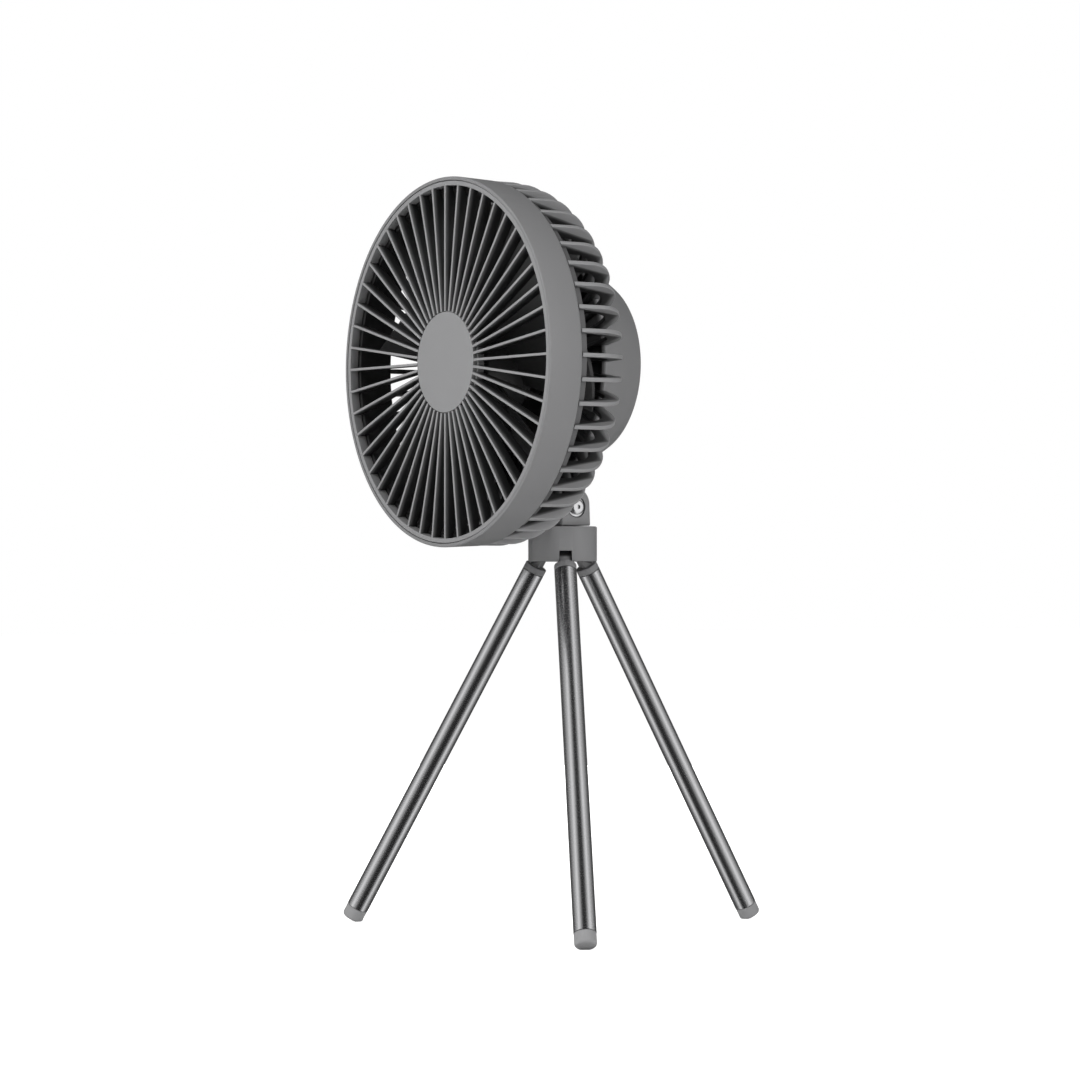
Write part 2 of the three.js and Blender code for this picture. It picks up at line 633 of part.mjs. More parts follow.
[['bearing_front', bearingTubeFront + GAP], ['bearing_rear', rearBearingBack - BEARING_DEPTH]]
  .forEach(([name, front]) => {
    piece(head, name, ring(bearingR, SHAFT_R + RUN, front, front + BEARING_DEPTH, 16), steel);
  });

for (let i = 0; i < MOTOR_SCREWS; i += 1) {
  const shank = plateBack + GAP - flangeFront;
  const fastener = screw(MOTOR_SCREW_HEAD_R, MOTOR_SCREW_HEAD_THICK, MOTOR_SCREW_R, shank)
    .rotateX(Math.PI)
    .translate(MOTOR_SCREW_CIRCLE, plateBack + GAP, 0)
    .rotateY(degrees((360 * i) / MOTOR_SCREWS));
  piece(head, `motor_screw_${i + 1}`, fastener, steel);
}

// ---------------------------------------------------------------- battery, board and controls

const trayFront = plateBack + GAP + MOTOR_SCREW_HEAD_THICK + GAP;
const cellFront = trayFront + TRAY_WALL + GAP;
const cellDepth = cellFront + CELL_R;
piece(head, 'cell_tray', cut(
  block(-trayHalfX, trayHalfX, trayFront, trayFront + TRAY_HEIGHT, -trayHalfZ, trayHalfZ),
  block(
    -trayHalfX + TRAY_WALL, trayHalfX - TRAY_WALL,
    trayFront + TRAY_WALL, trayFront + TRAY_HEIGHT + 1,
    -trayHalfZ + TRAY_WALL, trayHalfZ - TRAY_WALL,
  ),
), insideBlack);

for (let i = 0; i < CELLS; i += 1) {
  const cell = alongX(turned([
    [0, -CELL_LENGTH / 2],
    [CELL_R, -CELL_LENGTH / 2],
    [CELL_R, CELL_LENGTH / 2],
    [TERMINAL_R, CELL_LENGTH / 2],
    [TERMINAL_R, CELL_LENGTH / 2 + TERMINAL_LENGTH],
    [0, CELL_LENGTH / 2 + TERMINAL_LENGTH],
  ], 12));
  const at = piece(head, `battery_cell_${i + 1}`, cell, cellBlue);
  at.position.set(0, cellDepth, CELL_PITCH * ((CELLS - 1) / 2 - i));
}

const boardFront = boardBack - BOARD_THICK;
const boardHole = rod(BOARD_SCREW_R + RUN, boardFront - 1, boardBack + 1, 12);
piece(head, 'control_board', cut(
  rod(BOARD_R, boardFront, boardBack, 24),
  boardHole.clone().translate(BOARD_SCREW_X, 0, 0),
  boardHole.clone().translate(-BOARD_SCREW_X, 0, 0),
), boardGreen);
[['left', -1], ['right', 1]].forEach(([name, side]) => {
  const length = BOARD_THICK + BOARD_TO_WALL - 1;
  const fastener = screw(BOARD_SCREW_HEAD_R, BOARD_SCREW_HEAD_THICK, BOARD_SCREW_R, length);
  piece(head, `board_screw_${name}`, fastener, steel).position.set(side * BOARD_SCREW_X, boardFront - GAP, 0);
});

function button(radius) {
  const flangeBack = rearWall - GAP;
  const flangeFrontFace = flangeBack - BUTTON_FLANGE_THICK;
  const stemFront = boardBack + GAP + SWITCH_HEIGHT + BUTTON_TRAVEL + GAP;
  return turned([
    [0, stemFront],
    [BUTTON_STEM_R, stemFront],
    [BUTTON_STEM_R, flangeFrontFace],
    [radius + BUTTON_FLANGE, flangeFrontFace],
    [radius + BUTTON_FLANGE, flangeBack],
    [radius, flangeBack],
    [radius, HEAD_DEPTH + BUTTON_PROUD - BUTTON_EDGE],
    [radius - BUTTON_EDGE, HEAD_DEPTH + BUTTON_PROUD],
    [0, HEAD_DEPTH + BUTTON_PROUD],
  ], 16);
}

[['power', POWER_BUTTON_R, BUTTON_Z], ['mode', MODE_BUTTON_R, -BUTTON_Z]].forEach(([name, radius, z]) => {
  piece(head, `${name}_button`, button(radius), capGrey).position.set(0, 0, z);
  piece(head, `${name}_switch`, block(
    -SWITCH_SIZE / 2, SWITCH_SIZE / 2,
    boardBack + GAP, boardBack + GAP + SWITCH_HEIGHT,
    z - SWITCH_SIZE / 2, z + SWITCH_SIZE / 2,
  ), insideBlack);
});

const lensBlock = (margin, front, back) => block(
  -LENS_WIDTH / 2 - margin, LENS_WIDTH / 2 + margin, front, back,
  LENS_Z - LENS_HEIGHT / 2 - margin, LENS_Z + LENS_HEIGHT / 2 + margin,
);
piece(head, 'indicator_lens', join(
  lensBlock(0, boardBack + LENS_TO_BOARD, HEAD_DEPTH),
  lensBlock(LENS_FLANGE, rearWall - GAP - LENS_FLANGE_THICK, rearWall - GAP),
), lensWhite);

const usbFront = boardBack + GAP;
const usbBlock = (inset, front, back) =>
  block(
    -USB_WIDTH / 2 + inset, USB_WIDTH / 2 - inset, front, back,
    USB_Z - USB_HEIGHT / 2 + inset, USB_Z + USB_HEIGHT / 2 - inset,
  );
piece(head, 'usb_socket', join(
  cut(
    usbBlock(0, usbFront, usbFront + USB_DEPTH),
    usbBlock(USB_WALL, usbFront + USB_BACK_WALL, usbFront + USB_DEPTH + 1),
  ),
  block(
    -USB_TONGUE_WIDTH / 2, USB_TONGUE_WIDTH / 2,
    usbFront + USB_BACK_WALL / 2, usbFront + USB_DEPTH - 1,
    USB_Z - USB_TONGUE_THICK / 2, USB_Z + USB_TONGUE_THICK / 2,
  ),
), steel);

// ---------------------------------------------------------------- neck

const neck = new THREE.Group();
neck.position.set(0, 0, tiltZ);
fan.add(neck);

const neckFoot = hubTop + GAP - tiltZ;
const neckFloor = -LUG_R - GAP - RUN;
const earInX = EAR_OUT_X - EAR_THICK;
const earShape = new THREE.Shape();
earShape.moveTo(-EAR_FOOT_HALF_WIDTH, neckFoot);
earShape.lineTo(EAR_FOOT_HALF_WIDTH, neckFoot);
earShape.lineTo(EAR_HALF_WIDTH, EAR_TOP - EAR_HALF_WIDTH);
earShape.absarc(0, EAR_TOP - EAR_HALF_WIDTH, EAR_HALF_WIDTH, 0, Math.PI, false);
const fork = new THREE.ExtrudeGeometry(earShape, {
  depth: 2 * EAR_OUT_X, bevelEnabled: false, curveSegments: 10,
})
  .translate(0, 0, -EAR_OUT_X)
  .rotateY(Math.PI / 2)
  .rotateX(Math.PI / 2);
const throat = block(
  -earInX, earInX,
  -EAR_FOOT_HALF_WIDTH - 1, EAR_FOOT_HALF_WIDTH + 1,
  neckFloor, EAR_TOP + 1,
);
const shelfZ = hubTop - HUB_SHELF_THICK;
const shelfBottom = shelfZ - tiltZ;
const spigotFoot = shelfBottom + GAP;
const swivelHole = alongZ(rod(SWIVEL_SCREW_R + RUN, spigotFoot - 1, neckFoot - 0.5, 16));

piece(neck, 'neck_fork', cut(
  join(cut(fork, throat), alongZ(rod(NECK_SPIGOT_R, spigotFoot, neckFoot + 0.5, 16))),
  alongX(rod(TILT_SCREW_R + RUN, -EAR_OUT_X - 1, EAR_OUT_X + 1)),
  alongX(rod(TILT_WASHER_R + 2 * GAP, EAR_OUT_X - EAR_RECESS, EAR_OUT_X + 1, 16)),
  alongX(rod(NUT_R + GAP, -EAR_OUT_X - 1, -EAR_OUT_X + NUT_THICK, 6)),
  swivelHole,
), shellGrey);

const washerInX = EAR_OUT_X - EAR_RECESS + RUN;
const headInX = washerInX + TILT_WASHER_THICK + RUN;
piece(neck, 'tilt_washer', alongX(
  ring(TILT_WASHER_R, TILT_SCREW_R + RUN, washerInX, washerInX + TILT_WASHER_THICK, 16),
), steel);
piece(neck, 'tilt_screw', alongX(
  screw(TILT_HEAD_R, TILT_HEAD_THICK, TILT_SCREW_R, headInX + EAR_OUT_X, 16).rotateX(Math.PI),
).translate(headInX, 0, 0), steel);
piece(neck, 'tilt_nut', alongX(
  cut(
    rod(NUT_R, -EAR_OUT_X, -EAR_OUT_X + NUT_THICK - RUN, 6),
    rod(TILT_SCREW_R + RUN, -EAR_OUT_X - 1, 0, 16),
  ),
), steel);
[['left', -earInX + RUN], ['right', earInX - RUN - FRICTION_WASHER_THICK]].forEach(([name, x]) => {
  piece(neck, `friction_washer_${name}`, alongX(
    ring(LUG_R - 1, TILT_SCREW_R + RUN, x, x + FRICTION_WASHER_THICK, 24),
  ), insideBlack);
});

const swivelWasherTop = shelfBottom - RUN;
piece(neck, 'swivel_washer', alongZ(ring(
  SWIVEL_WASHER_R, SWIVEL_SCREW_R + RUN, swivelWasherTop - SWIVEL_WASHER_THICK, swivelWasherTop, 16,
)), steel);
const swivelHeadTop = swivelWasherTop - SWIVEL_WASHER_THICK - RUN;
piece(neck, 'swivel_screw', alongZ(
  screw(SWIVEL_HEAD_R, SWIVEL_HEAD_THICK, SWIVEL_SCREW_R, neckFoot - 1 - swivelHeadTop),
).translate(0, 0, swivelHeadTop), steel);

// ---------------------------------------------------------------- tripod hub

const legAngles = Array.from({ length: LEGS }, (_, i) => 180 + (360 * i) / LEGS);
const screwAngles = legAngles.map((angle) => angle + 180 / LEGS);
const pocketHalf = TAB_WIDTH / 2 + GAP;
const pocketInnerR = pivotR - TAB_NOSE_R - 2 * GAP;
const plateRecessTop = hubBottom + BASE_PLATE_THICK + 2 * GAP;
// In the hub's own frame the leg at angle 0 points to the front, -Y.
const legPocket = join(
  block(
    -pocketHalf, pocketHalf,
    -(basePlateR + GAP), -pocketInnerR,
    hubBottom - 1, pivotZ + TAB_NOSE_R + GAP,
  ),
  block(-pocketHalf, pocketHalf, -HUB_R - 1, -pivotR, hubBottom - 1, hubBottom + SLOT_HEIGHT),
);
const pinSeatHalf = PIN_HALF_LENGTH + GAP;
const pinSeat = join(
  alongX(rod(PIN_R + RUN, -pinSeatHalf, pinSeatHalf, 12)).translate(0, -pivotR, pivotZ),
  block(
    -pinSeatHalf, pinSeatHalf,
    -pivotR - PIN_R - RUN, -pivotR + PIN_R + RUN,
    hubBottom + 1, pivotZ,
  ),
);
const hubScrewHole = alongZ(rod(BASE_SCREW_R + RUN, hubBottom, hubBottom + BASE_SCREW_LENGTH + 2, 12))
  .translate(0, -baseScrewCircle, 0);

piece(fan, 'tripod_hub', cut(
  alongZ(turned([
    [0, hubBottom],
    [HUB_R - HUB_EDGE, hubBottom],
    [HUB_R, hubBottom + HUB_EDGE],
    [HUB_R, hubTop - HUB_EDGE],
    [HUB_R - HUB_EDGE, hubTop],
    [0, hubTop],
  ], 32)),
  alongZ(rod(NECK_SPIGOT_R + GAP, shelfZ - 1, hubTop + 1, 16)),
  alongZ(rod(SWIVEL_WASHER_R + GAP, hubBottom - 1, shelfZ, 16)),
  alongZ(rod(basePlateR + GAP, hubBottom - 1, plateRecessTop, 24)),
  ...aroundZ(legPocket, legAngles),
  ...aroundZ(pinSeat, legAngles),
  ...aroundZ(hubScrewHole, screwAngles),
), shellGrey);

const plateBottom = hubBottom + GAP;
const screwSeatZ = plateBottom + BASE_SCREW_HEAD_THICK;
const legNotch = block(-pocketHalf, pocketHalf, -HUB_R, -pocketInnerR, hubBottom - 1, plateRecessTop);
const headSeat = alongZ(rod(BASE_SCREW_HEAD_R + GAP, hubBottom - 1, screwSeatZ + RUN, 12))
  .translate(0, -baseScrewCircle, 0);
piece(fan, 'hub_base_plate', cut(
  alongZ(ring(
    basePlateR, SWIVEL_HEAD_R + 2 * GAP, plateBottom, plateBottom + BASE_PLATE_THICK, 24,
  )),
  ...aroundZ(legNotch, legAngles),
  ...aroundZ(headSeat, screwAngles),
  ...aroundZ(hubScrewHole, screwAngles),
), insideBlack);

screwAngles.forEach((angle, i) => {
  const body = screw(BASE_SCREW_HEAD_R, BASE_SCREW_HEAD_THICK, BASE_SCREW_R, BASE_SCREW_LENGTH);
  const fastener = alongZ(body)
    .translate(0, -baseScrewCircle, screwSeatZ)
    .rotateZ(degrees(angle));
  piece(fan, `base_screw_${i + 1}`, fastener, steel);
});

// ---------------------------------------------------------------- legs

const collarBottom = collarTop + COLLAR_THICK;
const footTop = LEG_LENGTH - FOOT_LENGTH;
const plugR = LEG_R - TUBE_WALL - GAP;

// A leg's own frame: the pivot is the origin and the leg runs down -Z, outwards is -Y.
const knuckle = cut(
  join(
    alongX(rod(TAB_NOSE_R, -TAB_WIDTH / 2, TAB_WIDTH / 2, 12)),
    block(-TAB_WIDTH / 2, TAB_WIDTH / 2, -TAB_NOSE_R, TAB_NOSE_R, -collarTop - 1, 0),
    downZ(turned([
      [0, collarTop],
      [LEG_R - COLLAR_EDGE, collarTop],
      [LEG_R, collarTop + COLLAR_EDGE],
      [LEG_R, collarBottom],
      [plugR, collarBottom],
      [plugR, collarBottom + PLUG_LENGTH],
      [0, collarBottom + PLUG_LENGTH],
    ], 16)),
  ),
  alongX(rod(PIN_R + RUN, -TAB_WIDTH, TAB_WIDTH, 12)),
);
const legTube = downZ(ring(LEG_R, LEG_R - TUBE_WALL, collarBottom + GAP, footTop - GAP, 20));
// The foot's lowest edge is worn flat where it stands on the floor.
const floor = block(-2 * LEG_R, 2 * LEG_R, -LEG_LENGTH, 0, -hubBottom, 0)
  .translate(0, pivotR, -pivotZ)
  .rotateX(degrees(LEG_TILT));
const foot = cut(
  downZ(turned([
    [0, footTop - PLUG_LENGTH],
    [plugR, footTop - PLUG_LENGTH],
    [plugR, footTop],
    [LEG_R, footTop],
    [LEG_R, LEG_LENGTH - FOOT_EDGE],
    [LEG_R - footRound, LEG_LENGTH - footRound],
    [LEG_R - FOOT_EDGE, LEG_LENGTH],
    [0, LEG_LENGTH],
  ], 20)),
  floor,
);

const legNames = ['rear', 'left', 'right'];
legAngles.forEach((angle, i) => {
  const bay = new THREE.Group();
  bay.rotation.z = degrees(angle);
  fan.add(bay);
  piece(bay, `hinge_pin_${legNames[i]}`, alongX(rod(PIN_R, -PIN_HALF_LENGTH, PIN_HALF_LENGTH, 12)), steel)
    .position.set(0, -pivotR, pivotZ);
  const leg = new THREE.Group();
  leg.position.set(0, -pivotR, pivotZ);
  leg.rotation.x = degrees(-LEG_TILT);
  bay.add(leg);
  piece(leg, `leg_knuckle_${legNames[i]}`, knuckle, shellGrey);
  piece(leg, `leg_tube_${legNames[i]}`, legTube, gunmetal);
  piece(leg, `leg_foot_${legNames[i]}`, foot, rubberGrey);
});

// ---------------------------------------------------------------- origin

fan.updateMatrixWorld(true);
const box = new THREE.Box3().setFromObject(fan, true);
const centre = box.getCenter(new THREE.Vector3());
fan.position.set(-centre.x, -centre.y, -box.min.z);

export default fan;
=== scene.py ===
# %% [markdown]
# # A rechargeable tripod fan
#
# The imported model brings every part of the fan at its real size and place. This notebook gives each
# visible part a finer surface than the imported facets, and a finish that looks like the real material.
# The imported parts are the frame: nothing here moves or resizes them.

import json
import math

import bmesh
import bpy
from mathutils import Matrix, Vector


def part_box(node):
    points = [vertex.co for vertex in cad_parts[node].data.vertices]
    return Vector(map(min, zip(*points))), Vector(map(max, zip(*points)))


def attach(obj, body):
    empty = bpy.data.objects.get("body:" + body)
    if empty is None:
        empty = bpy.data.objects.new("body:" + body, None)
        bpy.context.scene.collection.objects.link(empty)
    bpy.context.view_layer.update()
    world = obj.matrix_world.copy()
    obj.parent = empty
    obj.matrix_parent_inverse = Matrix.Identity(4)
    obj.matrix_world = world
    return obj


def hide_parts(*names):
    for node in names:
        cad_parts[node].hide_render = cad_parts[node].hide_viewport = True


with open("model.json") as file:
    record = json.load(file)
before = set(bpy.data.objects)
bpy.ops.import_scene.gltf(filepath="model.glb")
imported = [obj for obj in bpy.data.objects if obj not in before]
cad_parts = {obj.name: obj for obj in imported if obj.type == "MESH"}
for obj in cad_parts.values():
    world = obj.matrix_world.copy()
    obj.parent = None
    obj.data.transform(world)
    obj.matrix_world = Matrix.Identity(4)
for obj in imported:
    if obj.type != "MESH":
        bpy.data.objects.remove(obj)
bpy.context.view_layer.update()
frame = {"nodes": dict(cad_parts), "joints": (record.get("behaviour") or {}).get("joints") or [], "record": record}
MM = 0.001

# %% [markdown]
# ## Measure the frame
#
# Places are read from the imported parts, so the fine surfaces land exactly on them. The fan's axis runs
# along Y, so a turned part of the head is an outline of (radius, depth) points, with its depth counted
# back from the front plane of the bezel.

# %% Axes and radii of the head
bezel_low, bezel_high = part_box("front_bezel")
HEAD_R = (bezel_high.x - bezel_low.x) / 2
BEZEL_DEPTH = bezel_high.y - bezel_low.y
HEAD_CENTRE = Vector((0, bezel_low.y, (bezel_low.z + bezel_high.z) / 2))
joints = {joint["name"]: joint for joint in frame["joints"]}
TILT_PIVOT = Vector(joints["head_tilt"]["pos_m"])
HUB_AXIS = Vector((0, TILT_PIVOT.y, 0))


def depth_of(node):
    """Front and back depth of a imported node, behind the head's front plane."""
    low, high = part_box(node)
    return low.y - HEAD_CENTRE.y, high.y - HEAD_CENTRE.y


def half_width(node):
    low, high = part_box(node)
    return (high.x - low.x) / 2


print("head radius %.1f mm, tilt axis %.1f mm up" % (HEAD_R / MM, TILT_PIVOT.z / MM))

# %% [markdown]
# ## Tools for turned and moulded parts
#
# Most of this fan is round, so the main tool turns an outline about an axis. Real mouldings have no
# knife edges: each corner of an outline carries a fillet radius, and the fillet catches the light as
# the real edge does.

# %% Outlines with filleted corners
def filleted(corners, steps=5):
    """A closed outline from (x, y, fillet radius) corners, each turned into a short arc."""
    outline = []
    befores = corners[-1:] + corners[:-1]
    afters = corners[1:] + corners[:1]
    for before, (x, y, radius), after in zip(befores, corners, afters):
        corner = Vector((x, y))
        if radius == 0:
            outline.append(corner)
            continue
        to_before = (Vector(before[:2]) - corner).normalized()
        to_after = (Vector(after[:2]) - corner).normalized()
        half = to_before.angle(to_after) / 2
        centre = corner + (to_before + to_after).normalized() * (radius / math.sin(half))
        reach = radius / math.tan(half)
        start = corner + to_before * reach - centre
        end = corner + to_after * reach - centre
        first = math.atan2(start.y, start.x)
        sweep = (math.atan2(end.y, end.x) - first + math.pi) % (2 * math.pi) - math.pi
        for i in range(steps + 1):
            angle = first + sweep * i / steps
            outline.append(centre + radius * Vector((math.cos(angle), math.sin(angle))))
    return outline


# %% [markdown]
# Wear shows first on outside edges, where hands polish them, and these rims also carry a painted highlight.
# `mark_edges` stores how sharply each vertex sticks out in an attribute named edge, and the finishes read
# it to lighten the rims.

# %% Finish a mesh and put it in the scene
SMOOTH_BELOW = math.radians(32)


def mark_edges(mesh):
    bm = bmesh.new()
    bm.from_mesh(mesh)
    values = []
    for vert in bm.verts:
        angles = [e.calc_face_angle_signed(0) for e in vert.link_edges if len(e.link_faces) == 2]
        values.append(max(0.0, min(1.0, 2 * max(angles, default=0) / math.pi * 2)))
    bm.free()
    layer = mesh.attributes.get("edge") or mesh.attributes.new("edge", "FLOAT", "POINT")
    layer.data.foreach_set("value", values)


def object_from(name, bm):
    """A tidy object from a bmesh: doubles merged, faces outwards, smooth between close angles."""
    bmesh.ops.remove_doubles(bm, verts=bm.verts, dist=1e-6)
    bmesh.ops.dissolve_degenerate(bm, edges=bm.edges, dist=1e-7)
    bmesh.ops.recalc_face_normals(bm, faces=bm.faces)
    mesh = bpy.data.meshes.new(name)
    bm.to_mesh(mesh)
    bm.free()
    piece = bpy.data.objects.new(name, mesh)
    bpy.context.collection.objects.link(piece)
    return piece


def flatten(piece):
    """Applies a piece's modifiers to its mesh and takes them off."""
    graph = bpy.context.evaluated_depsgraph_get()
    plain = bpy.data.meshes.new_from_object(piece.evaluated_get(graph))
    piece.modifiers.clear()
    piece.data = plain
    return piece


def dress(piece, material, body, slot, *stands_for):
    """Gives a piece its finish, its smooth shading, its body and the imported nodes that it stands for."""
    mesh = piece.data
    mesh.materials.clear()
    mesh.materials.append(material)
    mesh.polygons.foreach_set("material_index", [0] * len(mesh.polygons))
    mesh.polygons.foreach_set("use_smooth", [True] * len(mesh.polygons))
    mesh.set_sharp_from_angle(angle=SMOOTH_BELOW)
    mark_edges(mesh)
    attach(piece, body)
    if stands_for:
        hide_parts(*stands_for)
    print("%-22s %6d faces on %s" % (piece.name, len(mesh.polygons), body))
    return piece


# %% [markdown]
# The grille and the cage are deep and narrow, and the faces that look into the fan carry painted shade,
# because little light gets in there. The function below stores how far each vertex lies inside, from 0 at
# the outer face, and the finishes paint their shade darkest from 1 on.

# %% Mark the painted shade on the faces that look into the fan
def mark_painted_shade(piece, rule):
    mesh = piece.data
    values = [max(0.0, rule(vert.co)) for vert in mesh.vertices]
    mesh.attributes.new("inside", "FLOAT", "POINT").data.foreach_set("value", values)


def mark_painted_shade_in_head(piece, rule):
    """For pieces of the head: the painted-shade rule reads the radius from the fan's axis and the depth."""
    def from_axis(point):
        away = point - HEAD_CENTRE
        return rule(math.hypot(away.x, away.z), away.y)

    mark_painted_shade(piece, from_axis)


# %% Turn and extrude outlines
ROUND = 192


def turned(name, outline, place, steps=ROUND):
    """Turns an outline of (radius, along) about the local Z axis, then puts it at `place`."""
    bm = bmesh.new()
    turns = [2 * math.pi * i / steps for i in range(steps)]
    rings = [
        [bm.verts.new(place @ Vector((r * math.cos(t), r * math.sin(t), along))) for t in turns]
        for r, along in outline
    ]
    for here, there in zip(rings, rings[1:] + rings[:1]):
        for i in range(steps):
            j = (i + 1) % steps
            if len({tuple(v.co) for v in (here[i], here[j], there[j], there[i])}) > 2:
                bm.faces.new((here[i], here[j], there[j], there[i]))
    return object_from(name, bm)


def prism(name, outline, half, place):
    """Extrudes an outline of (x, y) points to +/- half along the local Z axis."""
    bm = bmesh.new()
    sides = [[bm.verts.new(place @ Vector((x, y, z))) for x, y in outline] for z in (-half, half)]
    bm.faces.new(sides[0])
    bm.faces.new(sides[1])
    for i in range(len(outline)):
        j = (i + 1) % len(outline)
        bm.faces.new((sides[0][i], sides[0][j], sides[1][j], sides[1][i]))
    return object_from(name, bm)


def along_y(centre):
    """A place whose local Z runs back along +Y, for turned parts of the head."""
    return Matrix.Translation(centre) @ Matrix.Rotation(-math.pi / 2, 4, "X")


def along_x(centre):
    return Matrix.Translation(centre) @ Matrix.Rotation(math.pi / 2, 4, "Y")


def bevelled(piece, width, segments=3, angle=40):
    rounding = piece.modifiers.new("edges", "BEVEL")
    rounding.width = width
    rounding.segments = segments
    rounding.limit_method = "ANGLE"
    rounding.angle_limit = math.radians(angle)
    return flatten(piece)


def carved(piece, *tools):
    """Cuts tools out of a piece, and removes them."""
    for tool in tools:
        boolean = piece.modifiers.new("cut", "BOOLEAN")
        boolean.operation = "DIFFERENCE"
        boolean.solver = "EXACT"
        boolean.object = tool
        flatten(piece)
        bpy.data.objects.remove(tool)
    return piece


def disc_outline(radius, front, back, fillet=0.0):
    return filleted([(0, front, 0), (radius, front, fillet), (radius, back, fillet), (0, back, 0)])


def ring_outline(outer, inner, front, back, fillet=0.0):
    return filleted([
        (inner, front, fillet), (outer, front, fillet), (outer, back, fillet), (inner, back, fillet),
    ])


# %% [markdown]
# ## One node tree for everything that repeats
#
# Spokes, ribs, blades and screws all repeat round an axis. A Geometry Nodes tree makes one point for
# each copy, turns copy number i by i full-turn shares, and sets the finish. Its inputs are the copied
# object, the count, the axis and the finish, so one tree serves the whole fan.

# %% Build the tree of copies round an axis
def build_copies_tree():
    tree = bpy.data.node_groups.new("copies_round_an_axis", "GeometryNodeTree")
    sockets = {}
    for label, kind in (
        ("Base", "Geometry"), ("Copied piece", "Object"), ("Count", "Int"),
        ("Axis point", "Vector"), ("Axis", "Vector"), ("Finish", "Material"),
    ):
        socket = tree.interface.new_socket(label, in_out="INPUT", socket_type="NodeSocket" + kind)
        sockets[label] = socket.identifier
    tree.interface.new_socket("Geometry", in_out="OUTPUT", socket_type="NodeSocketGeometry")
    add = tree.nodes.new
    given, result = add("NodeGroupInput"), add("NodeGroupOutput")
    points, source = add("GeometryNodePoints"), add("GeometryNodeObjectInfo")
    index, turn = add("GeometryNodeInputIndex"), add("FunctionNodeAxisAngleToRotation")
    share, angle = add("ShaderNodeMath"), add("ShaderNodeMath")
    copy, real = add("GeometryNodeInstanceOnPoints"), add("GeometryNodeRealizeInstances")
    coat = add("GeometryNodeSetMaterial")
    share.operation, angle.operation = "DIVIDE", "MULTIPLY"
    share.inputs[0].default_value = 2 * math.pi
    link = tree.links.new
    link(given.outputs["Count"], share.inputs[1])
    link(share.outputs[0], angle.inputs[0])
    link(index.outputs[0], angle.inputs[1])
    link(given.outputs["Axis"], turn.inputs["Axis"])
    link(angle.outputs[0], turn.inputs["Angle"])
    link(given.outputs["Count"], points.inputs["Count"])
    link(given.outputs["Axis point"], points.inputs["Position"])
    link(given.outputs["Copied piece"], source.inputs["Object"])
    link(points.outputs[0], copy.inputs["Points"])
    link(source.outputs["Geometry"], copy.inputs["Instance"])
    link(turn.outputs[0], copy.inputs["Rotation"])
    link(copy.outputs[0], real.inputs[0])
    link(real.outputs[0], coat.inputs["Geometry"])
    link(given.outputs["Finish"], coat.inputs["Material"])
    link(coat.outputs[0], result.inputs[0])
    return tree, sockets


COPIES, COPIES_IN = build_copies_tree()


def copies_round(name, copied, count, point, axis, material):
    """A plain mesh of `count` copies of an object, which is drawn about the origin and then removed."""
    holder = bpy.data.objects.new(name, bpy.data.meshes.new(name))
    bpy.context.collection.objects.link(holder)
    nodes = holder.modifiers.new("copies", "NODES")
    nodes.node_group = COPIES
    nodes[COPIES_IN["Copied piece"]] = copied
    nodes[COPIES_IN["Count"]] = count
    nodes[COPIES_IN["Axis point"]] = point
    nodes[COPIES_IN["Axis"]] = axis
    nodes[COPIES_IN["Finish"]] = material
    flatten(holder)
    bpy.data.objects.remove(copied)
    return holder


# %% [markdown]
# ## Finishes
#
# Each finish starts from one recipe: a base colour that drifts slightly over the part, a roughness that
# varies with it, a fine surface relief, brighter rims from the edge attribute for wear and a painted
# highlight, and painted shade from the inside attribute. What sets the materials apart is the scale and
# depth of the grain and the numbers on the shader itself.

# %% A recipe for every finish
def grey(value):
    return (value, value, value * 1.015, 1.0)


BROAD_GRAIN = 26.0               # of the slow drift in tone
ROUGHNESS_SPREAD = 0.05
RELIEF_DEPTH = 0.3 * MM
# Painted shade that the inside attribute lays on the colour deep in the fan:
PAINTED_SHADE = 0.9                      # share of the colour that is lost deep inside
PAINTED_SHADE_CURVE = 0.45               # under 1 it darkens quickly behind the edge


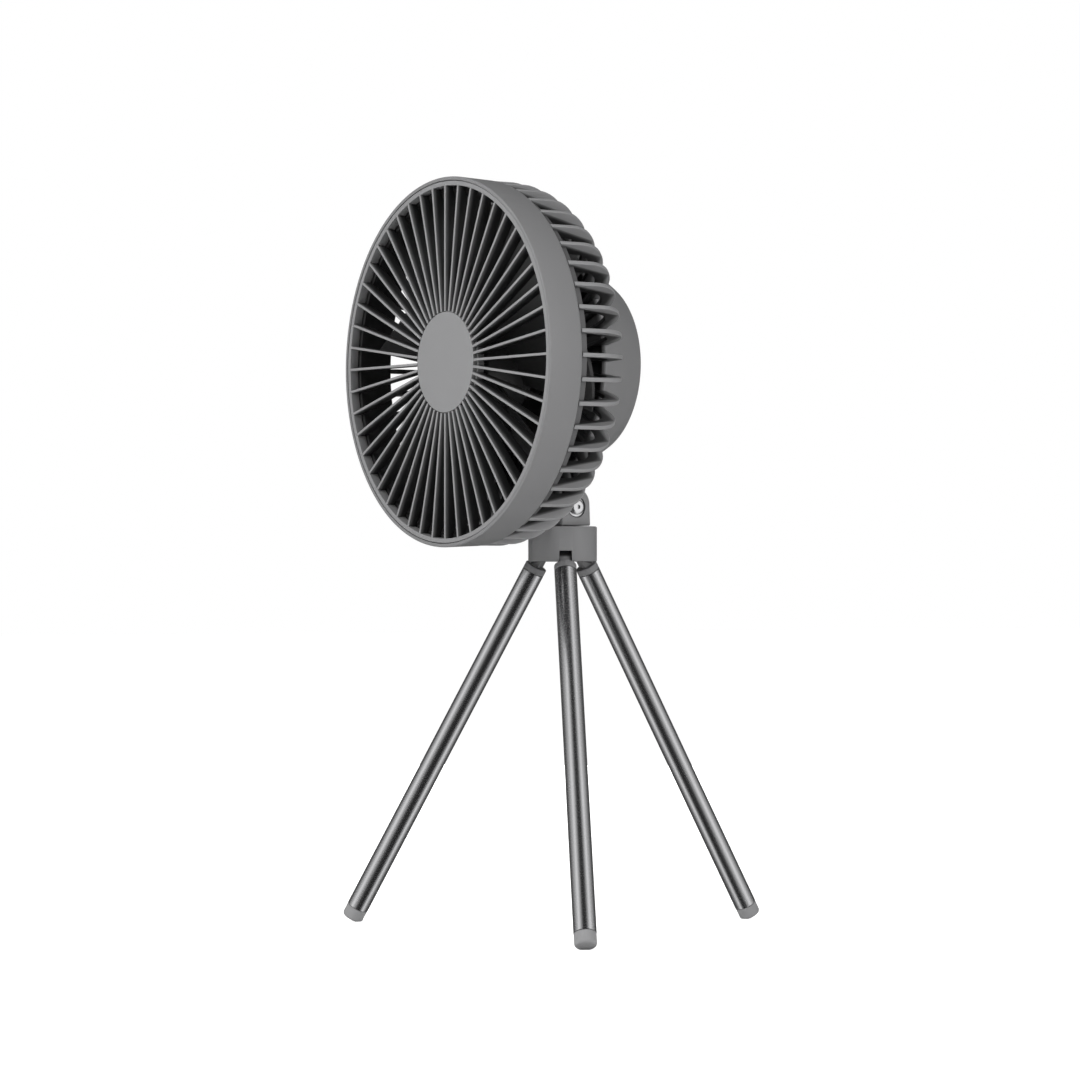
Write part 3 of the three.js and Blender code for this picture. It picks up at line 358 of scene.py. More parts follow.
def make_finish(name, colour, roughness, metallic=0.0, drift=0.06, grain=2400.0, relief=0.06,
                rim=0.18, coat=0.0):
    material = bpy.data.materials.new(name)
    material.use_nodes = True
    nodes, link = material.node_tree.nodes, material.node_tree.links.new
    shader = nodes["Principled BSDF"]
    shader.inputs["Metallic"].default_value = metallic
    shader.inputs["Coat Weight"].default_value = coat
    place = nodes.new("ShaderNodeTexCoord")

    def noise(size, detail):
        node = nodes.new("ShaderNodeTexNoise")
        node.inputs["Scale"].default_value = size
        node.inputs["Detail"].default_value = detail
        link(place.outputs["Object"], node.inputs["Vector"])
        return node.outputs["Fac"]

    broad, fine = noise(BROAD_GRAIN, 3.0), noise(grain, 2.0)
    tone = nodes.new("ShaderNodeMapRange")
    tone.inputs["To Min"].default_value = 1 - drift
    tone.inputs["To Max"].default_value = 1 + drift
    link(broad, tone.inputs["Value"])
    shade = nodes.new("ShaderNodeMix")
    shade.data_type, shade.blend_type = "RGBA", "MULTIPLY"
    shade.inputs["Factor"].default_value = 1.0
    shade.inputs["A"].default_value = colour
    link(tone.outputs[0], shade.inputs["B"])
    # Lighter rims from the edge attribute: wear, and a painted highlight on outside edges.
    edge = nodes.new("ShaderNodeAttribute")
    edge.attribute_name = "edge"
    rim_wear_and_highlight = nodes.new("ShaderNodeMath")
    rim_wear_and_highlight.operation = "MULTIPLY"
    rim_wear_and_highlight.inputs[1].default_value = rim
    link(edge.outputs["Fac"], rim_wear_and_highlight.inputs[0])
    worn_and_highlit_rim = nodes.new("ShaderNodeMix")
    worn_and_highlit_rim.data_type = "RGBA"
    worn_and_highlit_rim.inputs["B"].default_value = [min(1.0, c * 1.6 + 0.03) for c in colour[:3]] + [1.0]
    link(rim_wear_and_highlight.outputs[0], worn_and_highlit_rim.inputs["Factor"])
    link(shade.outputs["Result"], worn_and_highlit_rim.inputs["A"])
    # Painted shade from the inside attribute, where little light gets into the fan.
    painted_shade_mask = nodes.new("ShaderNodeAttribute")
    painted_shade_mask.attribute_name = "inside"
    painted_shade_falloff = nodes.new("ShaderNodeMath")
    painted_shade_falloff.operation = "POWER"
    painted_shade_falloff.inputs[1].default_value = PAINTED_SHADE_CURVE
    link(painted_shade_mask.outputs["Fac"], painted_shade_falloff.inputs[0])
    painted_shade_mix = nodes.new("ShaderNodeMix")
    painted_shade_mix.data_type = "RGBA"
    painted_shade_mix.inputs["B"].default_value = [c * (1 - PAINTED_SHADE) for c in colour[:3]] + [1.0]
    link(painted_shade_falloff.outputs[0], painted_shade_mix.inputs["Factor"])
    link(worn_and_highlit_rim.outputs["Result"], painted_shade_mix.inputs["A"])
    link(painted_shade_mix.outputs["Result"], shader.inputs["Base Color"])
    rough = nodes.new("ShaderNodeMapRange")
    rough.inputs["To Min"].default_value = roughness - ROUGHNESS_SPREAD
    rough.inputs["To Max"].default_value = roughness + ROUGHNESS_SPREAD
    link(fine, rough.inputs["Value"])
    link(rough.outputs[0], shader.inputs["Roughness"])
    bump = nodes.new("ShaderNodeBump")
    bump.inputs["Strength"].default_value = relief
    bump.inputs["Distance"].default_value = RELIEF_DEPTH
    link(fine, bump.inputs["Height"])
    link(bump.outputs[0], shader.inputs["Normal"])
    return material


shell_finish = make_finish("spark_textured_shell", grey(0.16), 0.46)
# The grille's stronger rim value paints a highlight on its spokes' front edges, as well as wear.
grille_finish = make_finish("satin_grille", grey(0.185), 0.42, rim=0.45)
cap_finish = make_finish("satin_cap", grey(0.2), 0.40, drift=0.03)
rotor_finish = make_finish("dark_rotor", grey(0.02), 0.42, relief=0.03)
inner_finish = make_finish("dark_moulding", grey(0.018), 0.6)
tube_finish = make_finish(
    "gunmetal_tube", grey(0.55), 0.26, metallic=1.0, drift=0.05, relief=0.05, rim=0.0,
)
foot_finish = make_finish("grey_rubber_foot", grey(0.23), 0.62, grain=1400.0, relief=0.12)
steel_finish = make_finish("bright_zinc", grey(0.62), 0.26, metallic=1.0, drift=0.04)
motor_finish = make_finish("machined_motor", grey(0.3), 0.4, metallic=1.0)
copper_finish = make_finish(
    "enamelled_copper", (0.5, 0.2, 0.08, 1.0), 0.35, metallic=1.0, grain=900.0, relief=0.4,
)
cell_finish = make_finish("cell_sleeve", (0.03, 0.13, 0.36, 1.0), 0.3, coat=0.3)
board_finish = make_finish("solder_mask", (0.02, 0.1, 0.05, 1.0), 0.45, grain=600.0, relief=0.2)
lens_finish = make_finish("milky_lens", (0.75, 0.8, 0.8, 1.0), 0.25, drift=0.02, relief=0.01)
print("finishes:", len(bpy.data.materials))

# %% [markdown]
# ## The bezel
#
# The outer ring of the head is one injection-moulded hoop with a little draft towards the back. Turning
# a filleted outline gives its lip, its outer wall and its rounded back edge in one closed skin.

# %% Turn the bezel
GAP = 0.3 * MM
LIP = 1.8 * MM
DRAFT = 0.8 * MM
BEZEL_WALL = 2.3 * MM
rim_back = depth_of("rear_cage")[0] - GAP
pocket_r = HEAD_R - LIP
inner_r = HEAD_R - DRAFT - BEZEL_WALL
head_place = along_y(HEAD_CENTRE)

bezel = turned("bezel_hoop", filleted([
    (pocket_r, 0, 0.25 * MM),
    (HEAD_R, 0, 0.7 * MM),
    (HEAD_R - DRAFT, BEZEL_DEPTH, 1.1 * MM),
    (inner_r, BEZEL_DEPTH, 0.3 * MM),
    (inner_r, rim_back + GAP, 0.1 * MM),
    (pocket_r, rim_back + GAP, 0.1 * MM),
]), head_place)
dress(bezel, shell_finish, "head", "shell_plastic", "front_bezel")

# %% [markdown]
# ## The front grille
#
# A rim, a hub ring under the cap, and forty-eight straight spokes. Each spoke is a thin deep blade: its
# front edge is lightened for wear and a painted highlight, and its sides get painted shade. One spoke is
# extruded and bevelled, and the tree turns copies of it round the fan's axis.

# %% Rim and hub of the grille
SPOKES = 48
SPOKE_THICK = 1.2 * MM
RIM_WIDTH = 2.2 * MM
grille_front, grille_back = depth_of("front_grille")
rim_r = pocket_r - GAP
rim_inner_r = rim_r - RIM_WIDTH
cap_r = half_width("grille_cap")
HUB_MARGIN = 1.0 * MM
STUD_R = 4.8 * MM
CAP_THICK = 2.2 * MM
cap_back = grille_front + CAP_THICK

rim = turned("grille_rim", ring_outline(rim_r, rim_inner_r, grille_front, rim_back, 0.3 * MM), head_place)
dress(rim, grille_finish, "head", "cage_plastic", "front_grille")
hub_ring = turned(
    "grille_hub", ring_outline(cap_r + HUB_MARGIN, STUD_R, cap_back + GAP, grille_back, 0.2 * MM), head_place,
)
dress(hub_ring, grille_finish, "head", "cage_plastic")

# %% Spokes of the grille
RELIEF_R = 83.7 * MM
RELIEF_SLOPE = 3 * MM
SPOKE_BITE = 0.6 * MM            # how far a spoke runs into the rim
SPOKE_EDGE = 0.2 * MM
SPOKE_SHADE = 2.2 * MM           # a spoke is darkest this far behind its front edge
spoke_end = rim_inner_r + SPOKE_BITE
spoke_outline = [
    (cap_r + GAP, grille_front),
    (spoke_end, grille_front),
    (spoke_end, rim_back),
    (RELIEF_R, rim_back),
    (RELIEF_R - RELIEF_SLOPE, grille_back),
    (cap_r + GAP, grille_back),
]
spoke = bevelled(prism("spoke", spoke_outline, SPOKE_THICK / 2, Matrix.Identity(4)), SPOKE_EDGE, 2)
spokes = copies_round("grille_spokes", spoke, SPOKES, HEAD_CENTRE, (0, 1, 0), grille_finish)
dress(spokes, grille_finish, "head", "cage_plastic", "front_grille")
# Painted shade down each spoke's sides, from a little behind its front edge.
mark_painted_shade_in_head(spokes, lambda radius, depth: (depth - grille_front - 1.25 * SPOKE_EDGE) / SPOKE_SHADE)

# %% [markdown]
# ## The grille's cap
#
# A plain round disc snaps into the middle of the grille and sits flush with the spokes. It is lightly
# crowned, which gives it a soft gradient instead of one flat tone.

# %% Turn the cap
CROWN = 0.12 * MM
CROWN_SHARE = 0.97               # of the cap's radius
crown_steps = 8
crown = [
    (cap_r * CROWN_SHARE * i / crown_steps, grille_front + CROWN * (i / crown_steps) ** 2, 0)
    for i in range(crown_steps + 1)
]
cap = turned("grille_cap_disc", filleted(crown + [
    (cap_r, grille_front + CROWN, 0.25 * MM),
    (cap_r, cap_back, 0.2 * MM),
    (STUD_R - GAP, cap_back, 0.2 * MM),
    (STUD_R - GAP, grille_back + GAP, 0.2 * MM),
    (0, grille_back + GAP, 0),
]), head_place)
dress(cap, cap_finish, "head", "cap_plastic", "grille_cap")

# %% [markdown]
# ## The rear cage
#
# The cage is a ring that slips into the bezel, a round plate that carries the motor, and forty-eight
# ribs that leave the ring, bend through a quarter of an ellipse and run in over the plate. The ring and
# the plate are turned. A rib is one outline in the plane through the axis, extruded to its thickness.

# %% Ring and plate of the cage
RING_SHADE = 0.4                 # between the ribs the ring sits in their shade
RING_LIT = 0.6 * MM              # the ring's outer skin, inside which it is dark
RING_WALL = 2.6 * MM
RING_BACK = 23.5 * MM
PLATE_FRONT = 50.5 * MM
PLATE_THICK = 2.5 * MM
PLATE_LIT = 0.5 * MM             # the plate's back skin
WIRE_HOLE_R = 4 * MM
ring_r = inner_r - GAP
plate_back = PLATE_FRONT + PLATE_THICK
cover_front, cover_back = depth_of("rear_cover")
COVER_FRONT_R = 61 * MM
COVER_REAR_R = 43.2 * MM
COVER_BULGE = 1.05 * MM


def cover_r(depth):
    """Outside radius of the rear cover, a cone whose side bows out a little."""
    u = (depth - PLATE_FRONT) / (cover_back - PLATE_FRONT)
    return COVER_FRONT_R + (COVER_REAR_R - COVER_FRONT_R) * u + 4 * COVER_BULGE * u * (1 - u)


cage_ring = turned(
    "cage_ring", ring_outline(ring_r, ring_r - RING_WALL, rim_back + GAP, RING_BACK, 0.4 * MM), head_place,
)
dress(cage_ring, grille_finish, "head", "cage_plastic", "rear_cage")
# Painted shade on the ring: a base share everywhere for the ribs' shade, and full inside its outer skin.
mark_painted_shade_in_head(cage_ring, lambda radius, depth: max(RING_SHADE, (ring_r - RING_LIT - radius) / (RING_LIT / 2)))
cage_plate = turned("cage_plate", filleted([
    (WIRE_HOLE_R, PLATE_FRONT, 0.3 * MM),
    (cover_r(PLATE_FRONT), PLATE_FRONT, 0.5 * MM),
    (cover_r(plate_back), plate_back, 0.1 * MM),
    (WIRE_HOLE_R, plate_back, 0.3 * MM),
]), head_place)
dress(cage_plate, grille_finish, "head", "cage_plastic")
# Painted shade on the plate's front face, which looks into the fan.
mark_painted_shade_in_head(cage_plate, lambda radius, depth: (plate_back - PLATE_LIT - depth) / (2 * PLATE_LIT))

# %% Ribs of the cage
RIB_THICK = 2 * MM
RIB_R = 89 * MM
RIB_DEEP = 7.3 * MM
BEND_START = 32.1 * MM
BEND_DEPTH = 21.6 * MM
BEND_R = 24.4 * MM
RIB_FOOT_R = 46 * MM
RIB_EDGE = 0.45 * MM
RIB_LIT = 0.5 * MM               # a rib's outer edge catches the light this far in
RIB_SHADE = 0.38                 # of a rib's depth, where it is darkest


def quarter_bend(span_r, span_depth, steps):
    """A quarter ellipse from the widest radius to the deepest point."""
    turns = [math.pi / 2 * i / steps for i in range(steps + 1)]
    middle = RIB_R - BEND_R
    return [(middle + span_r * math.cos(t), BEND_START + span_depth * math.sin(t), 0) for t in turns]


tail_r = cover_r(plate_back) + 2 * GAP
rib_outline = filleted([
    (ring_r - RING_WALL / 2, BEZEL_DEPTH + GAP, 0),
    (RIB_R, BEZEL_DEPTH + GAP, 0.4 * MM),
    *quarter_bend(BEND_R, BEND_DEPTH, 14),
    (tail_r, BEND_START + BEND_DEPTH + 1 * MM, 0.5 * MM),
    (tail_r, plate_back - PLATE_THICK / 2, 0),
    (RIB_FOOT_R, plate_back - PLATE_THICK / 2, 0),
    (RIB_FOOT_R, PLATE_FRONT - RIB_DEEP / 4, 0.8 * MM),
    *quarter_bend(BEND_R - RIB_DEEP, BEND_DEPTH - RIB_DEEP, 10)[::-1],
    (RIB_R - RIB_DEEP, RING_BACK + RIB_DEEP / 3, 0),
    (ring_r - RING_WALL * 0.75, RING_BACK - 1 * MM, 0),
], 3)
rib = bevelled(prism("rib", rib_outline, RIB_THICK / 2, Matrix.Identity(4)), RIB_EDGE, 3, 50)
ribs = copies_round("cage_ribs", rib, SPOKES, HEAD_CENTRE, (0, 1, 0), grille_finish)
dress(ribs, grille_finish, "head", "cage_plastic", "rear_cage")


def rib_painted_shade(radius, depth):
    """Painted shade on a rib: how far a point lies in from the rib's outer edge, as a share of its width."""
    if depth < BEND_START:
        inward = RIB_R - radius
    elif radius < RIB_R - BEND_R:
        inward = BEND_START + BEND_DEPTH - depth
    else:
        out = math.hypot((radius - RIB_R + BEND_R) / BEND_R, (depth - BEND_START) / BEND_DEPTH)
        inward = (1 - out) * BEND_DEPTH
    return (inward - RIB_LIT) / (RIB_SHADE * RIB_DEEP)


# Painted shade on the ribs, darkening them away from their outer edge.
mark_painted_shade_in_head(ribs, rib_painted_shade)

# %% [markdown]
# ## The rear cover
#
# The battery and the board sit under a tapered cover. Its shell is turned with a real wall, and the
# openings for the buttons, the light and the charging socket are cut through its back with booleans,
# because a cut-out has to show the thickness of the wall.

# %% Turn the cover and cut its openings
COVER_WALL = 2.2 * MM
COVER_EDGE = 1.5 * MM
rear_wall = cover_back - COVER_WALL
side_steps = 12
side = [cover_front + (cover_back - cover_front) * i / side_steps for i in range(side_steps + 1)]
cover_outline = filleted([
    *[(cover_r(depth), depth, 0) for depth in side[:-1]],
    (COVER_REAR_R, cover_back, COVER_EDGE),
    (0, cover_back, 0),
    (0, rear_wall, 0),
    (COVER_REAR_R - COVER_WALL, rear_wall, 0.8 * MM),
    *[(cover_r(depth) - COVER_WALL, depth, 0) for depth in side[-3::-1]],
], 6)
cover = turned("cover_shell", cover_outline, head_place)


def cutter(name, node, clearance):
    """A round cutter through the back wall, a clearance larger than a packed round node."""
    low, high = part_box(node)
    middle = Vector(((low.x + high.x) / 2, HEAD_CENTRE.y, (low.z + high.z) / 2))
    return turned(name, disc_outline(clearance, rear_wall - 1 * MM, cover_back + 1 * MM), along_y(middle), 64)


def slot_cutter(name, node, width, height):
    low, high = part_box(node)
    middle = (low + high) / 2
    corner = height / 2 - 0.01 * MM
    outline = filleted([
        (-width / 2, -height / 2, corner), (width / 2, -height / 2, corner),
        (width / 2, height / 2, corner), (-width / 2, height / 2, corner),
    ], 8)
    place = along_y(Vector((middle.x, HEAD_CENTRE.y + cover_back, middle.z)))
    return prism(name, outline, COVER_WALL * 1.5, place)


FLANGE = 1.2 * MM
LENS_OPENING = 14.0 * MM, 2.6 * MM
SOCKET_OPENING = 9.5 * MM, 3.8 * MM
power_r = half_width("power_button") - FLANGE
mode_r = half_width("mode_button") - FLANGE
carved(
    cover,
    cutter("power_hole", "power_button", power_r + GAP),
    cutter("mode_hole", "mode_button", mode_r + GAP),
    slot_cutter("lens_hole", "indicator_lens", *LENS_OPENING),
    slot_cutter("socket_hole", "usb_socket", *SOCKET_OPENING),
)
dress(cover, shell_finish, "head", "shell_plastic", "rear_cover")
# The edge attribute stands for wear and a painted highlight; the openings' rims are cleared of it.
edge_wear_and_highlight = cover.data.attributes["edge"].data
for vert in cover.data.vertices:
    away = vert.co - HEAD_CENTRE
    if away.y > rear_wall - COVER_WALL and math.hypot(away.x, away.z) < COVER_REAR_R - 2 * COVER_EDGE:
        edge_wear_and_highlight[vert.index].value = 0.0    # the openings' rims stay plain, or they would tint the flat back

# %% The lug that the head tilts on
LUG_HALF = 5.9 * MM
LUG_IN_COVER = 6 * MM            # its top ends this far short of the cover's back radius
LUG_R = 7 * MM
SCREW_HOLE_R = 2.15 * MM
lug_rise = HEAD_CENTRE.z - TILT_PIVOT.z - COVER_REAR_R - LUG_IN_COVER
lug_steps = 24
lug_outline = [
    Vector((LUG_R * math.cos(math.pi * i / lug_steps), -LUG_R * math.sin(math.pi * i / lug_steps)))
    for i in range(lug_steps + 1)
] + [Vector((-LUG_R, lug_rise)), Vector((LUG_R, lug_rise))]
UPRIGHT_YZ = Matrix(((0, 0, 1), (1, 0, 0), (0, 1, 0))).to_4x4()
lug_place = Matrix.Translation(TILT_PIVOT) @ UPRIGHT_YZ
lug = bevelled(prism("tilt_lug", lug_outline, LUG_HALF, lug_place), 0.6 * MM)
lug_hole = disc_outline(SCREW_HOLE_R, -2 * LUG_HALF, 2 * LUG_HALF)
carved(lug, turned("lug_hole", lug_hole, along_x(TILT_PIVOT), 48))
dress(lug, shell_finish, "head", "shell_plastic", "tilt_lug")

# %% [markdown]
# ## Buttons and light
#
# Two round buttons stand a little proud of the back. Each is turned with a soft dish in its top, so a
# finger finds it, and a flange that keeps it from falling out.

# %% Turn the buttons
BUTTON_DISH = 0.35 * MM
DISH_SHARE = 0.82                # of the button's radius
BUTTON_STEM_R = 2 * MM
BUTTON_FLANGE_THICK = 1.1 * MM


def button_cap(name, node, radius):
    low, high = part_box(node)
    front, back = depth_of(node)
    middle = Vector(((low.x + high.x) / 2, HEAD_CENTRE.y, (low.z + high.z) / 2))
    steps = 8
    top = [
        (radius * DISH_SHARE * (1 - i / steps), back - BUTTON_DISH * (1 - (1 - i / steps) ** 2), 0)
        for i in range(steps + 1)
    ]
    flange_back = rear_wall - GAP
    flange_front = flange_back - BUTTON_FLANGE_THICK
    outline = filleted([
        (0, front, 0), (BUTTON_STEM_R, front, 0.2 * MM), (BUTTON_STEM_R, flange_front, 0),
        (radius + FLANGE, flange_front, 0.1 * MM), (radius + FLANGE, flange_back, 0.1 * MM),
        (radius, flange_back, 0), (radius, back, 0.5 * MM),
    ] + top, 5)
    return dress(turned(name, outline, along_y(middle), 96), cap_finish, node, "cap_plastic", node)


button_cap("power_button_cap", "power_button", power_r)
button_cap("mode_button_cap", "mode_button", mode_r)

# %% [markdown]
# ## The impeller
#
# Seven broad blades on a hub cup. A blade is a thin curved sheet with its pitch falling from root to
# tip, so it is built as a grid wrapped round the axis and thickened, and the tree makes the other six.

# %% One blade, then seven
BLADES = 7
BLADE_TIP_R = 79 * MM
ROOT_CHORD, TIP_CHORD = 30 * MM, 58 * MM
ROOT_PITCH, TIP_PITCH = math.radians(40), math.radians(23)
BLADE_THICK = 2 * MM
BLADE_BITE = 1 * MM              # how far a blade's root runs into the hub cup
CAMBER = 0.09
HUB_R = 23 * MM
hub_front, hub_back = depth_of("impeller")


def lerp(a, b, share):
    return a + (b - a) * share


def blade_mesh(name, across=14, out=16):
    root = HUB_R - BLADE_BITE
    span = BLADE_TIP_R - root
    middle = (hub_front + hub_back) / 2
    bm = bmesh.new()
    turns = [2 * math.pi * i / (2 * across) for i in range(2 * across)]
    rings = []
    for row in range(out + 1):
        share = row / out
        chord = lerp(ROOT_CHORD, TIP_CHORD, share)
        pitch = lerp(ROOT_PITCH, TIP_PITCH, share)
        radius = root + span * share
        ring = []
        for turn in turns:
            u, half = math.cos(turn) / 2, math.sin(turn) / 2
            along = u * chord
            off = half * BLADE_THICK + CAMBER * chord * (1 - 4 * u * u)
            angle = (along * math.cos(pitch) - off * math.sin(pitch)) / radius
            depth = middle + along * math.sin(pitch) + off * math.cos(pitch)
            ring.append(bm.verts.new((radius * math.cos(angle), depth, -radius * math.sin(angle))))
        rings.append(ring)
    count = len(turns)
    for here, there in zip(rings, rings[1:]):
        for i in range(count):
            j = (i + 1) % count
            bm.faces.new((here[i], here[j], there[j], there[i]))
    for ring in (rings[0], rings[-1]):
        for i in range(across - 1):
            quad = (ring[i], ring[i + 1], ring[-i - 1], ring[-i]) if i else (ring[0], ring[1], ring[-1])
            bm.faces.new(quad)
        bm.faces.new((ring[across - 1], ring[across], ring[across + 1]))
    return object_from(name, bm)


blades = copies_round("impeller_blades", blade_mesh("blade"), BLADES, HEAD_CENTRE, (0, 1, 0), rotor_finish)
dress(blades, rotor_finish, "rotor", "rotor_plastic", "impeller")
HUB_WALL = 2 * MM
hub_cup = turned("impeller_hub", filleted([
    (0, hub_front, 0), (HUB_R, hub_front, 3 * MM), (HUB_R, hub_back, 0.4 * MM),
    (HUB_R - HUB_WALL, hub_back, 0.4 * MM), (HUB_R - HUB_WALL, hub_front + HUB_WALL, 1 * MM),
    (0, hub_front + HUB_WALL, 0),
]), head_place, 96)
dress(hub_cup, rotor_finish, "rotor", "rotor_plastic", "impeller")

# %% [markdown]
# ## The neck
#
# A fork with two rounded ears holds the lug of the head. The ears and the floor between them come from
# one outline, cut by the throat, so their grain and edges run on without a seam.

# %% Shape the fork
EAR_X = 11.9 * MM
EAR_THICK = 5 * MM
EAR_HALF, EAR_FOOT_HALF = 8.2 * MM, 8.6 * MM
EAR_TOP = 9.4 * MM
hub_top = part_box("tripod_hub")[1].z
ear_foot = hub_top + GAP - TILT_PIVOT.z
ear_centre = EAR_TOP - EAR_HALF
ear_steps = 28
ear_turns = [math.pi * i / ear_steps for i in range(ear_steps + 1)]
ear_outline = [Vector((-EAR_FOOT_HALF, ear_foot)), Vector((EAR_FOOT_HALF, ear_foot))] + [
    Vector((EAR_HALF * math.cos(turn), ear_centre + EAR_HALF * math.sin(turn))) for turn in ear_turns
]
throat_half = EAR_X - EAR_THICK
throat_floor = -LUG_R - 1.5 * GAP
throat_top = EAR_TOP * 2
throat_outline = [
    (-throat_half, throat_floor), (throat_half, throat_floor),
    (throat_half, throat_top), (-throat_half, throat_top),
]
UPRIGHT_XZ = Matrix(((1, 0, 0), (0, 0, 1), (0, 1, 0))).to_4x4()
fork = prism("fork_body", ear_outline, EAR_X, lug_place)
throat = prism("throat", throat_outline, EAR_FOOT_HALF * 2, Matrix.Translation(TILT_PIVOT) @ UPRIGHT_XZ)
carved(fork, throat)
bevelled(fork, 0.7 * MM, 4, 50)
washer_low, washer_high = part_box("tilt_washer")
washer_r = (washer_high.z - washer_low.z) / 2
RECESS = 1.2 * MM
RECESS_MARGIN = 0.6 * MM
NUT_RECESS_R = 4.35 * MM
NUT_RECESS = 3 * MM
past_ear = EAR_X * 1.2
tilt_place = along_x(TILT_PIVOT)
carved(
    fork,
    turned("screw_hole", [
        (0, 0), (SCREW_HOLE_R, 0), (SCREW_HOLE_R, EAR_X - RECESS),
        (washer_r + RECESS_MARGIN, EAR_X - RECESS), (washer_r + RECESS_MARGIN, past_ear), (0, past_ear),
    ], tilt_place, 64),
    turned("nut_hole", disc_outline(SCREW_HOLE_R, -past_ear, 0), tilt_place, 64),
    turned("nut_recess", disc_outline(NUT_RECESS_R, -past_ear, NUT_RECESS - EAR_X), tilt_place, 6),
)
SPIGOT_R = 6.5 * MM
SPIGOT_BITE = 0.8 * MM           # how far the spigot runs up into the fork
spigot_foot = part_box("neck_fork")[0].z
spigot = turned("neck_spigot", disc_outline(SPIGOT_R, spigot_foot, hub_top + SPIGOT_BITE, 0.3 * MM),
                Matrix.Translation(HUB_AXIS), 64)
dress(fork, shell_finish, "neck", "shell_plastic", "neck_fork")
dress(spigot, shell_finish, "neck", "shell_plastic")

# %% Tilt screw and its washer
washer = turned("tilt_washer_ring", ring_outline(
    washer_r, SCREW_HOLE_R, washer_low.x, washer_high.x, 0.15 * MM,
), tilt_place, 64)
dress(washer, steel_finish, "neck", "steel", "tilt_washer")
screw_low, screw_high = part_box("tilt_screw")
head_r = (screw_high.z - screw_low.z) / 2
head_in = washer_high.x + GAP / 2
SCREW_R = 2 * MM
SOCKET_R = 1.25 * MM
SOCKET_DEPTH = 0.9 * MM
screw = turned("tilt_screw_body", filleted([
    (0, screw_low.x, 0), (SCREW_R, screw_low.x, 0.4 * MM), (SCREW_R, head_in, 0),
    (head_r, head_in, 0.2 * MM), (head_r, screw_high.x - 0.5 * MM, 0.5 * MM),
    (head_r * 0.75, screw_high.x, 0.6 * MM), (0, screw_high.x, 0),
]), tilt_place, 64)
carved(screw, turned("hex_socket", disc_outline(
    SOCKET_R, screw_high.x - SOCKET_DEPTH, screw_high.x + 1 * MM,
), tilt_place, 6))
dress(screw, steel_finish, "neck", "steel", "tilt_screw")

# %% [markdown]
# ## The tripod hub
#
# A short drum with a slot in its wall for each leg's tab. The drum and its bores are turned as one
# outline; the pockets are cut by booleans.

# %% Turn the hub and cut the leg pockets
hub_low, hub_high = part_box("tripod_hub")
HUB_DRUM_R = half_width("tripod_hub")
SHELF = 7.8 * MM
SHELF_R = 8.7 * MM
RECESS_R = 14.9 * MM
RECESS_TOP = 2.2 * MM
hub_outline = filleted([
    (SPIGOT_R + GAP, hub_high.z, 0.3 * MM), (HUB_DRUM_R, hub_high.z, 0.7 * MM),
    (HUB_DRUM_R, hub_low.z, 0.5 * MM), (RECESS_R, hub_low.z, 0.2 * MM),
    (RECESS_R, hub_low.z + RECESS_TOP, 0.1 * MM), (SHELF_R, hub_low.z + RECESS_TOP, 0.2 * MM),
    (SHELF_R, hub_high.z - SHELF, 0.2 * MM), (SPIGOT_R + GAP, hub_high.z - SHELF, 0.2 * MM),
])
hub = turned("hub_drum", hub_outline, Matrix.Translation(HUB_AXIS), 144)
LEG_NAMES = [name[len("leg_fold_"):] for name in joints if name.startswith("leg_fold_")]
TAB_HALF = 2.8 * MM
NOSE_R = 2.5 * MM
SLOT_TOP = 5.2 * MM
POCKET_LIT = 0.6 * MM            # the drum's outer skin round a slot
POCKET_SHADE = 0.8 * MM


def outward_of(leg):
    """Level direction in which a leg spreads, square to its hinge."""
    return Vector(joints["leg_fold_" + leg]["axis"]).cross(Vector((0, 0, 1))).normalized()


def radial_prism(name, leg, half, outline):
    """A prism across a leg's plane, from an outline of (distance from the hub's axis, height)."""
    out, up = outward_of(leg), Vector((0, 0, 1))
    place = Matrix((out, up, out.cross(up))).transposed().to_4x4()
    return prism(name, outline, half, Matrix.Translation(HUB_AXIS) @ place)


pivot_z = joints["leg_fold_" + LEG_NAMES[0]]["pos_m"][2]
pivot_r = (Vector(joints["leg_fold_" + LEG_NAMES[0]]["pos_m"]).xy - HUB_AXIS.xy).length
pocket_start, pocket_end = pivot_r - NOSE_R - 2 * GAP, RECESS_R - 0.1 * MM
pocket_bottom, pocket_top = hub_low.z - 1 * MM, pivot_z + NOSE_R + GAP
slot_end, slot_top = HUB_DRUM_R * 1.1, hub_low.z + SLOT_TOP
for leg in LEG_NAMES:
    carved(hub, radial_prism("pocket", leg, TAB_HALF + GAP, [
        (pocket_start, pocket_bottom), (slot_end, pocket_bottom), (slot_end, slot_top),
        (pocket_end, slot_top), (pocket_end, pocket_top), (pocket_start, pocket_top),
    ]))
dress(hub, shell_finish, "tripod_base", "shell_plastic", "tripod_hub")


def pocket_painted_shade(point):
    """Painted shade in the leg pockets: nothing above them; below that, the walls darken from the drum's face
    inwards.
    """
    if point.z > pivot_z + NOSE_R + 2 * GAP:
        return 0.0
    return (HUB_DRUM_R - POCKET_LIT - (point - HUB_AXIS).xy.length) / POCKET_SHADE


# Painted shade on the pocket walls, where the drum keeps the light out.
mark_painted_shade(hub, pocket_painted_shade)

# %% [markdown]
# ## The legs
#
# A leg is a moulded knuckle with a flat tab in the hub's slot, a drawn metal tube, and a soft foot. All
# are round about the leg's own axis, so each is turned once for each leg, in a place built from the
# leg's hinge and its spread.

